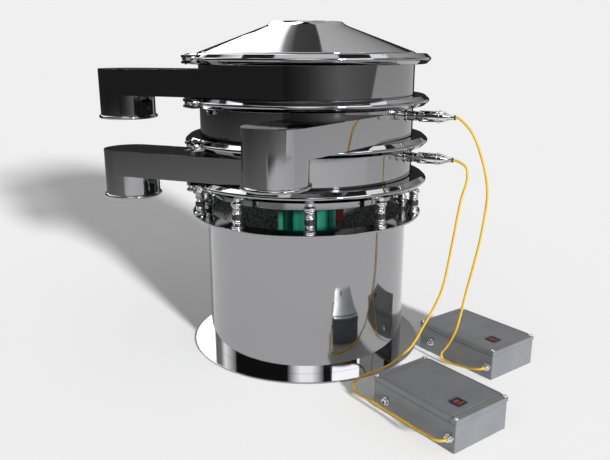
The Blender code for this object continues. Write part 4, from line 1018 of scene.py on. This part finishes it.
gland = moved(gland, Matrix.Rotation(math.pi, 4, "Z"))
grommet = turned([(0.0034, 0.0121), (0.0040, 0.0121), (0.0043, 0.0139), (0.0034, 0.0139)], 48, "Y")
grommet = moved(grommet, Matrix.Rotation(math.pi, 4, "Z"))
print("rocker faces", len(rocker.polygons), "gland faces", len(gland.polygons))

# %% Two drive boxes
ROCKER_TILT = math.radians(8)
for name in GENERATORS:
    place = generator_place(name)
    piece_of(f"{name}_box_case", moved(case, place), grey_coat, "base",
             (f"{name}_generator_case",))
    piece_of(f"{name}_box_lid", moved(lid_mesh, place), grey_coat, "base",
             (f"{name}_generator_lid",))
    piece_of(f"{name}_box_screws", moved(screws, place), bright_nickel, "base")
    at_switch = place @ Matrix.Translation((*SWITCH_PLACE, BOX_TOP))
    piece_of(f"{name}_switch_bezel", moved(bezel, at_switch), black_mould, "base",
             (f"{name}_switch_frame",))
    tilted = at_switch @ Matrix.Rotation(-ROCKER_TILT, 4, "Y")
    piece_of(f"{name}_rocker_cap", moved(rocker, tilted), red_mould, f"{name}_rocker",
             (f"{name}_switch_rocker",))
    for kind, offset in GLAND_OFFSETS.items():
        at_gland = place @ Matrix.Translation((offset, GLAND_WALL, GLAND_HEIGHT))
        piece_of(f"{name}_{kind}_gland_nut", moved(gland, at_gland), bright_nickel, "base",
                 (f"{name}_{kind}_gland",))
        piece_of(f"{name}_{kind}_grommet", moved(grommet, at_gland), black_rubber, "base")
print("drive boxes", len(GENERATORS))

# %% [markdown]
# ## Pieces that stay as CAD bodies
#
# The decks, the dome, the rotor and its weights sit inside the machine. They keep their CAD
# shapes and only get finishes. The cloth of the decks has a fine weave made in the material.

# %% Woven cloth
def weave_finish():
    material, tree, shader = new_finish("woven_cloth", (0.52, 0.52, 0.53), 0.32, 1.0)
    place = tree.nodes.new("ShaderNodeTexCoord")
    heights = []
    for axis in ("X", "Y"):
        wave = tree.nodes.new("ShaderNodeTexWave")
        wave.bands_direction = axis
        wave.inputs["Scale"].default_value = 160
        tree.links.new(place.outputs["Object"], wave.inputs["Vector"])
        heights.append(wave.outputs["Fac"])
    both = tree.nodes.new("ShaderNodeMath")
    both.operation = "MAXIMUM"
    tree.links.new(heights[0], both.inputs[0])
    tree.links.new(heights[1], both.inputs[1])
    ramp = tree.nodes.new("ShaderNodeValToRGB")
    ramp.color_ramp.elements[0].color = (0.10, 0.10, 0.10, 1)
    ramp.color_ramp.elements[1].color = (0.55, 0.55, 0.56, 1)
    tree.links.new(both.outputs["Value"], ramp.inputs["Fac"])
    tree.links.new(ramp.outputs["Color"], shader.inputs["Base Color"])
    bump = tree.nodes.new("ShaderNodeBump")
    bump.inputs["Distance"].default_value = 0.0003
    tree.links.new(both.outputs["Value"], bump.inputs["Height"])
    tree.links.new(bump.outputs["Normal"], shader.inputs["Normal"])
    return material


woven_cloth = weave_finish()
INNER_FINISHES = {
    "discharge_dome": inner_steel, "lower_screen_frame": inner_steel,
    "upper_screen_frame": inner_steel, "lower_transducer": inner_steel,
    "upper_transducer": inner_steel, "lower_mesh": woven_cloth, "upper_mesh": woven_cloth,
    "motor_end_bell": green_paint, "motor_shaft": spring_wire,
    "upper_eccentric_weight": cast_iron, "lower_eccentric_weight": cast_iron,
}
for name, finish in INNER_FINISHES.items():
    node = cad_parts[name]
    node.data.materials.clear()
    node.data.materials.append(finish)
print("inner nodes", len(INNER_FINISHES))

# %% [markdown]
# ## Floor, sky and light
#
# The photograph has a pale background without a horizon. The floor is lit near the machine and
# fades into the same plain tone further out. Mirror steel only shows what stands around it, so
# glowing cards, which the camera itself can't see, stand far out at measured directions.

# %% Floor
BACKGROUND = 0.87
FLOOR_TONE = 0.87
NEAR_REACH = 1.95
FAR_REACH = 40.0
FLOOR_FADE = (3.6, 6.5)
SUN_ELEVATION = math.radians(14.5)
SUN_AZIMUTH = math.radians(-59)
FLOOR_TILT = math.radians(27)


def floor_normal():
    """The floor shades as if it leaned toward the low sun, which deepens the long shadow
    without more light on the machine."""
    return (math.sin(FLOOR_TILT) * math.cos(SUN_AZIMUTH),
            math.sin(FLOOR_TILT) * math.sin(SUN_AZIMUTH), math.cos(FLOOR_TILT))


def fading_floor():
    material = bpy.data.materials.new("studio_floor")
    material.use_nodes = True
    tree = material.node_tree
    tree.nodes.clear()
    output = tree.nodes.new("ShaderNodeOutputMaterial")
    near = tree.nodes.new("ShaderNodeBsdfDiffuse")
    near.inputs["Color"].default_value = (FLOOR_TONE, FLOOR_TONE, FLOOR_TONE, 1)
    tilt = tree.nodes.new("ShaderNodeCombineXYZ")
    for label, value in zip("XYZ", floor_normal()):
        tilt.inputs[label].default_value = value
    tree.links.new(tilt.outputs["Vector"], near.inputs["Normal"])
    far = tree.nodes.new("ShaderNodeEmission")
    far.inputs["Color"].default_value = (BACKGROUND, BACKGROUND, BACKGROUND, 1)
    place = tree.nodes.new("ShaderNodeTexCoord")
    reach = tree.nodes.new("ShaderNodeVectorMath")
    reach.operation = "LENGTH"
    fade = tree.nodes.new("ShaderNodeMapRange")
    fade.interpolation_type = "SMOOTHSTEP"
    fade.inputs["From Min"].default_value = FLOOR_FADE[0]
    fade.inputs["From Max"].default_value = FLOOR_FADE[1]
    both = tree.nodes.new("ShaderNodeMixShader")
    tree.links.new(place.outputs["Object"], reach.inputs[0])
    tree.links.new(reach.outputs["Value"], fade.inputs["Value"])
    tree.links.new(fade.outputs["Result"], both.inputs["Fac"])
    tree.links.new(near.outputs["BSDF"], both.inputs[1])
    tree.links.new(far.outputs["Emission"], both.inputs[2])
    tree.links.new(both.outputs["Shader"], output.inputs["Surface"])
    return material


def disc(name, inner, outer, material):
    bm = bmesh.new()
    rings = []
    for radius in (inner, outer):
        rings.append([bm.verts.new((radius * math.cos(math.tau * step / 96),
                                    radius * math.sin(math.tau * step / 96), 0))
                      for step in range(96)])
    for step in range(96):
        following = (step + 1) % 96
        bm.faces.new((rings[0][step], rings[1][step], rings[1][following], rings[0][following]))
    mesh = bpy.data.meshes.new(name)
    bm.to_mesh(mesh)
    bm.free()
    mesh.materials.append(material)
    piece = placed(name, mesh)
    return piece


floor_material = fading_floor()
disc("near_floor", 0.001, NEAR_REACH, floor_material)
far_floor = disc("far_floor", NEAR_REACH, FAR_REACH, floor_material)
far_floor.visible_glossy = False
print("floor reaches", FAR_REACH, "m")

# %% Light cards
CARD_DISTANCE = 30.0
CARD_CENTRE = 0.6
CARD_STEPS = (8, 20)
CARD_GAIN = 1.16


def card_glow():
    """One glow for all cards. Its strength comes from each card's own corner levels."""
    material = bpy.data.materials.new("card_glow")
    material.use_nodes = True
    tree = material.node_tree
    tree.nodes.clear()
    output = tree.nodes.new("ShaderNodeOutputMaterial")
    light = tree.nodes.new("ShaderNodeEmission")
    level = tree.nodes.new("ShaderNodeAttribute")
    level.attribute_name = "level"
    tree.links.new(level.outputs["Fac"], light.inputs["Strength"])
    tree.links.new(light.outputs["Emission"], output.inputs["Surface"])
    return material


CARD_GLOW = card_glow()


def light_card(name, *corners):
    """A glowing patch of a far sphere. A corner is (elevation, azimuth, level); the four run
    low left, low right, high right, high left, and the glow fades evenly between them."""
    bm = bmesh.new()
    layer = bm.verts.layers.float.new("level")
    low_left, low_right, high_right, high_left = (Vector(corner) for corner in corners)
    rows = []
    for step in range(CARD_STEPS[0] + 1):
        share = step / CARD_STEPS[0]
        first = low_left.lerp(high_left, share)
        last = low_right.lerp(high_right, share)
        row = []
        for part in range(CARD_STEPS[1] + 1):
            elevation, azimuth, level = first.lerp(last, part / CARD_STEPS[1])
            up = math.sin(math.radians(elevation))
            flat = math.cos(math.radians(elevation))
            along = Vector((math.cos(math.radians(azimuth)), math.sin(math.radians(azimuth))))
            vert = bm.verts.new((*(along * flat * CARD_DISTANCE), CARD_CENTRE + up * CARD_DISTANCE))
            vert[layer] = level * CARD_GAIN
            row.append(vert)
        rows.append(row)
    for below, above in zip(rows, rows[1:]):
        for part in range(CARD_STEPS[1]):
            bm.faces.new((below[part], below[part + 1], above[part + 1], above[part]))
    mesh = bpy.data.meshes.new(name)
    bm.to_mesh(mesh)
    bm.free()
    mesh.materials.append(CARD_GLOW)
    card = placed(name, mesh)
    card.visible_camera = False
    card.visible_diffuse = False
    card.visible_shadow = False
    card.visible_transmission = False


CARDS = {
    "right_floor": ((-14, -24, 0.70), (-14, 62, 0.64), (-5, 62, 0.55), (-5, -24, 0.56)),
    "right_wall": ((-5, -24, 0.54), (-5, 62, 0.54), (0, 62, 0.48), (0, -12, 0.48)),
    "right_wall_top": ((0, -12, 0.48), (0, 62, 0.48), (15, 62, 0.45), (15, 8, 0.45)),
    "front_floor_left": ((-14, -113, 0.75), (-14, -84, 0.84),
                         (-9.2, -84, 0.84), (-10.8, -108, 0.78)),
    "front_floor_right": ((-14, -84, 0.84), (-14, -24, 0.72),
                          (-8.7, -24, 0.70), (-9.2, -84, 0.84)),
    "floor_edge_left": ((-10.8, -108, 0.78), (-9.2, -84, 0.84),
                        (-8.6, -84, 0.30), (-9.9, -112, 0.25)),
    "floor_edge_right": ((-9.2, -84, 0.84), (-8.7, -54, 0.80),
                         (-8.3, -54, 0.33), (-8.6, -84, 0.30)),
    "front_floor_far": ((-8.7, -54, 0.80), (-8.7, -24, 0.70),
                        (-5, -24, 0.56), (-5, -50, 0.78)),
    "front_dusk": ((-8.6, -113, 0.20), (-8.3, -54, 0.33), (-5, -54, 0.22), (-5, -113, 0.05)),
    "left_floor": ((-14, -180, 0.27), (-14, -119, 0.30), (-8, -119, 0.17), (-8, -180, 0.10)),
    "floor_turn": ((-14, -119, 0.30), (-14, -113, 0.75), (-10.8, -108, 0.78), (-8, -119, 0.17)),
    "floor_turn_far": ((-10.8, -108, 0.78), (-9.9, -112, 0.25),
                       (-8, -113, 0.17), (-8, -119, 0.17)),
    "left_floor_far": ((-8, -180, 0.10), (-8, -113, 0.17), (-4, -113, 0.04), (-4, -180, 0.02)),
    "back_floor": ((-14, 100, 0.22), (-14, 180, 0.27), (-8, 180, 0.10), (-8, 100, 0.12)),
    "back_floor_far": ((-8, 100, 0.12), (-8, 180, 0.10), (-4, 180, 0.02), (-4, 100, 0.05)),
    "wall_a": ((-5, -113, 0.016), (-5, -90, 0.048), (15, -90, 0.048), (15, -113, 0.016)),
    "wall_b": ((-5, -90, 0.048), (-5, -56, 0.19), (15, -56, 0.19), (15, -90, 0.048)),
    "wall_c": ((-5, -56, 0.19), (-5, -24, 0.13), (0, -12, 0.13), (0, -56, 0.19)),
    "wall_d": ((0, -56, 0.19), (0, -12, 0.13), (15, 8, 0.13), (15, -56, 0.19)),
    "lid_right": ((15, 34, 0.17), (15, 85.7, 0.18), (42, 85.7, 0.76), (42, 34, 0.62)),
    "lid_band": ((15, 85.7, 0.07), (15, 93.5, 0.09), (50, 93.5, 0.09), (50, 85.7, 0.07)),
    "lid_right_top": ((42, 34, 0.62), (42, 84, 0.76), (72, 84, 0.66), (72, 34, 0.60)),
    "lid_dusk": ((19, 93.5, 0.10), (19, 96, 0.40), (50, 96, 0.40), (50, 93.5, 0.10)),
    "lid_dawn": ((19, 96, 0.40), (19, 100, 5.6), (50, 100, 5.6), (50, 96, 0.40)),
    "lid_left": ((15, 100, 5.6), (15, 122, 5.6), (72, 122, 5.6), (72, 100, 5.6)),
    "left_end": ((22, 122, 5.6), (22, 130, 0.45), (50, 130, 0.45), (50, 122, 5.6)),
    "left_grey": ((22, 130, 0.45), (22, 146, 0.70), (34, 146, 0.70), (34, 130, 0.45)),
    "left_glow": ((22, 146, 0.70), (22, 157, 3.7), (34, 157, 3.7), (34, 146, 0.70)),
    "left_glow_end": ((22, 157, 3.7), (22, 178, 0.50), (34, 178, 0.50), (34, 157, 3.7)),
    "left_high": ((35, 138, 0.40), (35, 156, 3.0), (58, 156, 3.0), (58, 138, 0.40)),
    "left_high_end": ((35, 156, 3.0), (35, 180, 0.80), (58, 180, 0.80), (58, 156, 3.0)),
    "foot_right": ((22, -24, 0.85), (22, 16, 0.80), (34, 16, 0.80), (34, -24, 0.85)),
    "foot_white": ((22, -60, 5.6), (22, -25, 5.6), (34, -25, 5.6), (34, -60, 5.6)),
    "foot_left": ((22, -112, 0.10), (22, -97, 4.8), (34, -97, 4.8), (34, -112, 0.10)),
    "foot_middle": ((22, -97, 4.8), (22, -84, 4.6), (34, -84, 4.6), (34, -97, 4.8)),
    "foot_end": ((22, -84, 4.6), (22, -70, 0.30), (34, -70, 0.30), (34, -84, 4.6)),
    "front_high": ((48, -165, 1.7), (48, 50, 1.5), (58, 50, 1.5), (58, -165, 1.7)),
    "ceiling": ((74, 0, 1.1), (74, 360, 1.1), (89, 360, 1.1), (89, 0, 1.1)),
}
for name, corners in CARDS.items():
    light_card(f"card_{name}", *corners)
print("cards", len(CARDS))

# %% Sky and sun
AMBIENT = 0.44
MIRRORED = 0.03
world = bpy.data.worlds.new("studio")
scene.world = world
world.use_nodes = True
tree = world.node_tree
tree.nodes.clear()
output = tree.nodes.new("ShaderNodeOutputWorld")
path_node = tree.nodes.new("ShaderNodeLightPath")
seen = tree.nodes.new("ShaderNodeBackground")
seen.inputs["Color"].default_value = (BACKGROUND, BACKGROUND, BACKGROUND, 1)
lit = tree.nodes.new("ShaderNodeBackground")
lit.inputs["Color"].default_value = (AMBIENT, AMBIENT, AMBIENT, 1)
mirrored = tree.nodes.new("ShaderNodeBackground")
mirrored.inputs["Color"].default_value = (MIRRORED, MIRRORED, MIRRORED, 1)
first_mix = tree.nodes.new("ShaderNodeMixShader")
second_mix = tree.nodes.new("ShaderNodeMixShader")
tree.links.new(path_node.outputs["Is Glossy Ray"], first_mix.inputs["Fac"])
tree.links.new(lit.outputs["Background"], first_mix.inputs[1])
tree.links.new(mirrored.outputs["Background"], first_mix.inputs[2])
tree.links.new(path_node.outputs["Is Camera Ray"], second_mix.inputs["Fac"])
tree.links.new(first_mix.outputs["Shader"], second_mix.inputs[1])
tree.links.new(seen.outputs["Background"], second_mix.inputs[2])
tree.links.new(second_mix.outputs["Shader"], output.inputs["Surface"])

sun_data = bpy.data.lights.new("key", "SUN")
sun_data.energy = 3.2
sun_data.angle = math.radians(6)
sun = placed("key", sun_data)
sun.rotation_euler = (math.pi / 2 - SUN_ELEVATION, 0, SUN_AZIMUTH + math.pi / 2)
scene.view_settings.view_transform = "Standard"
print("sun energy", sun_data.energy)
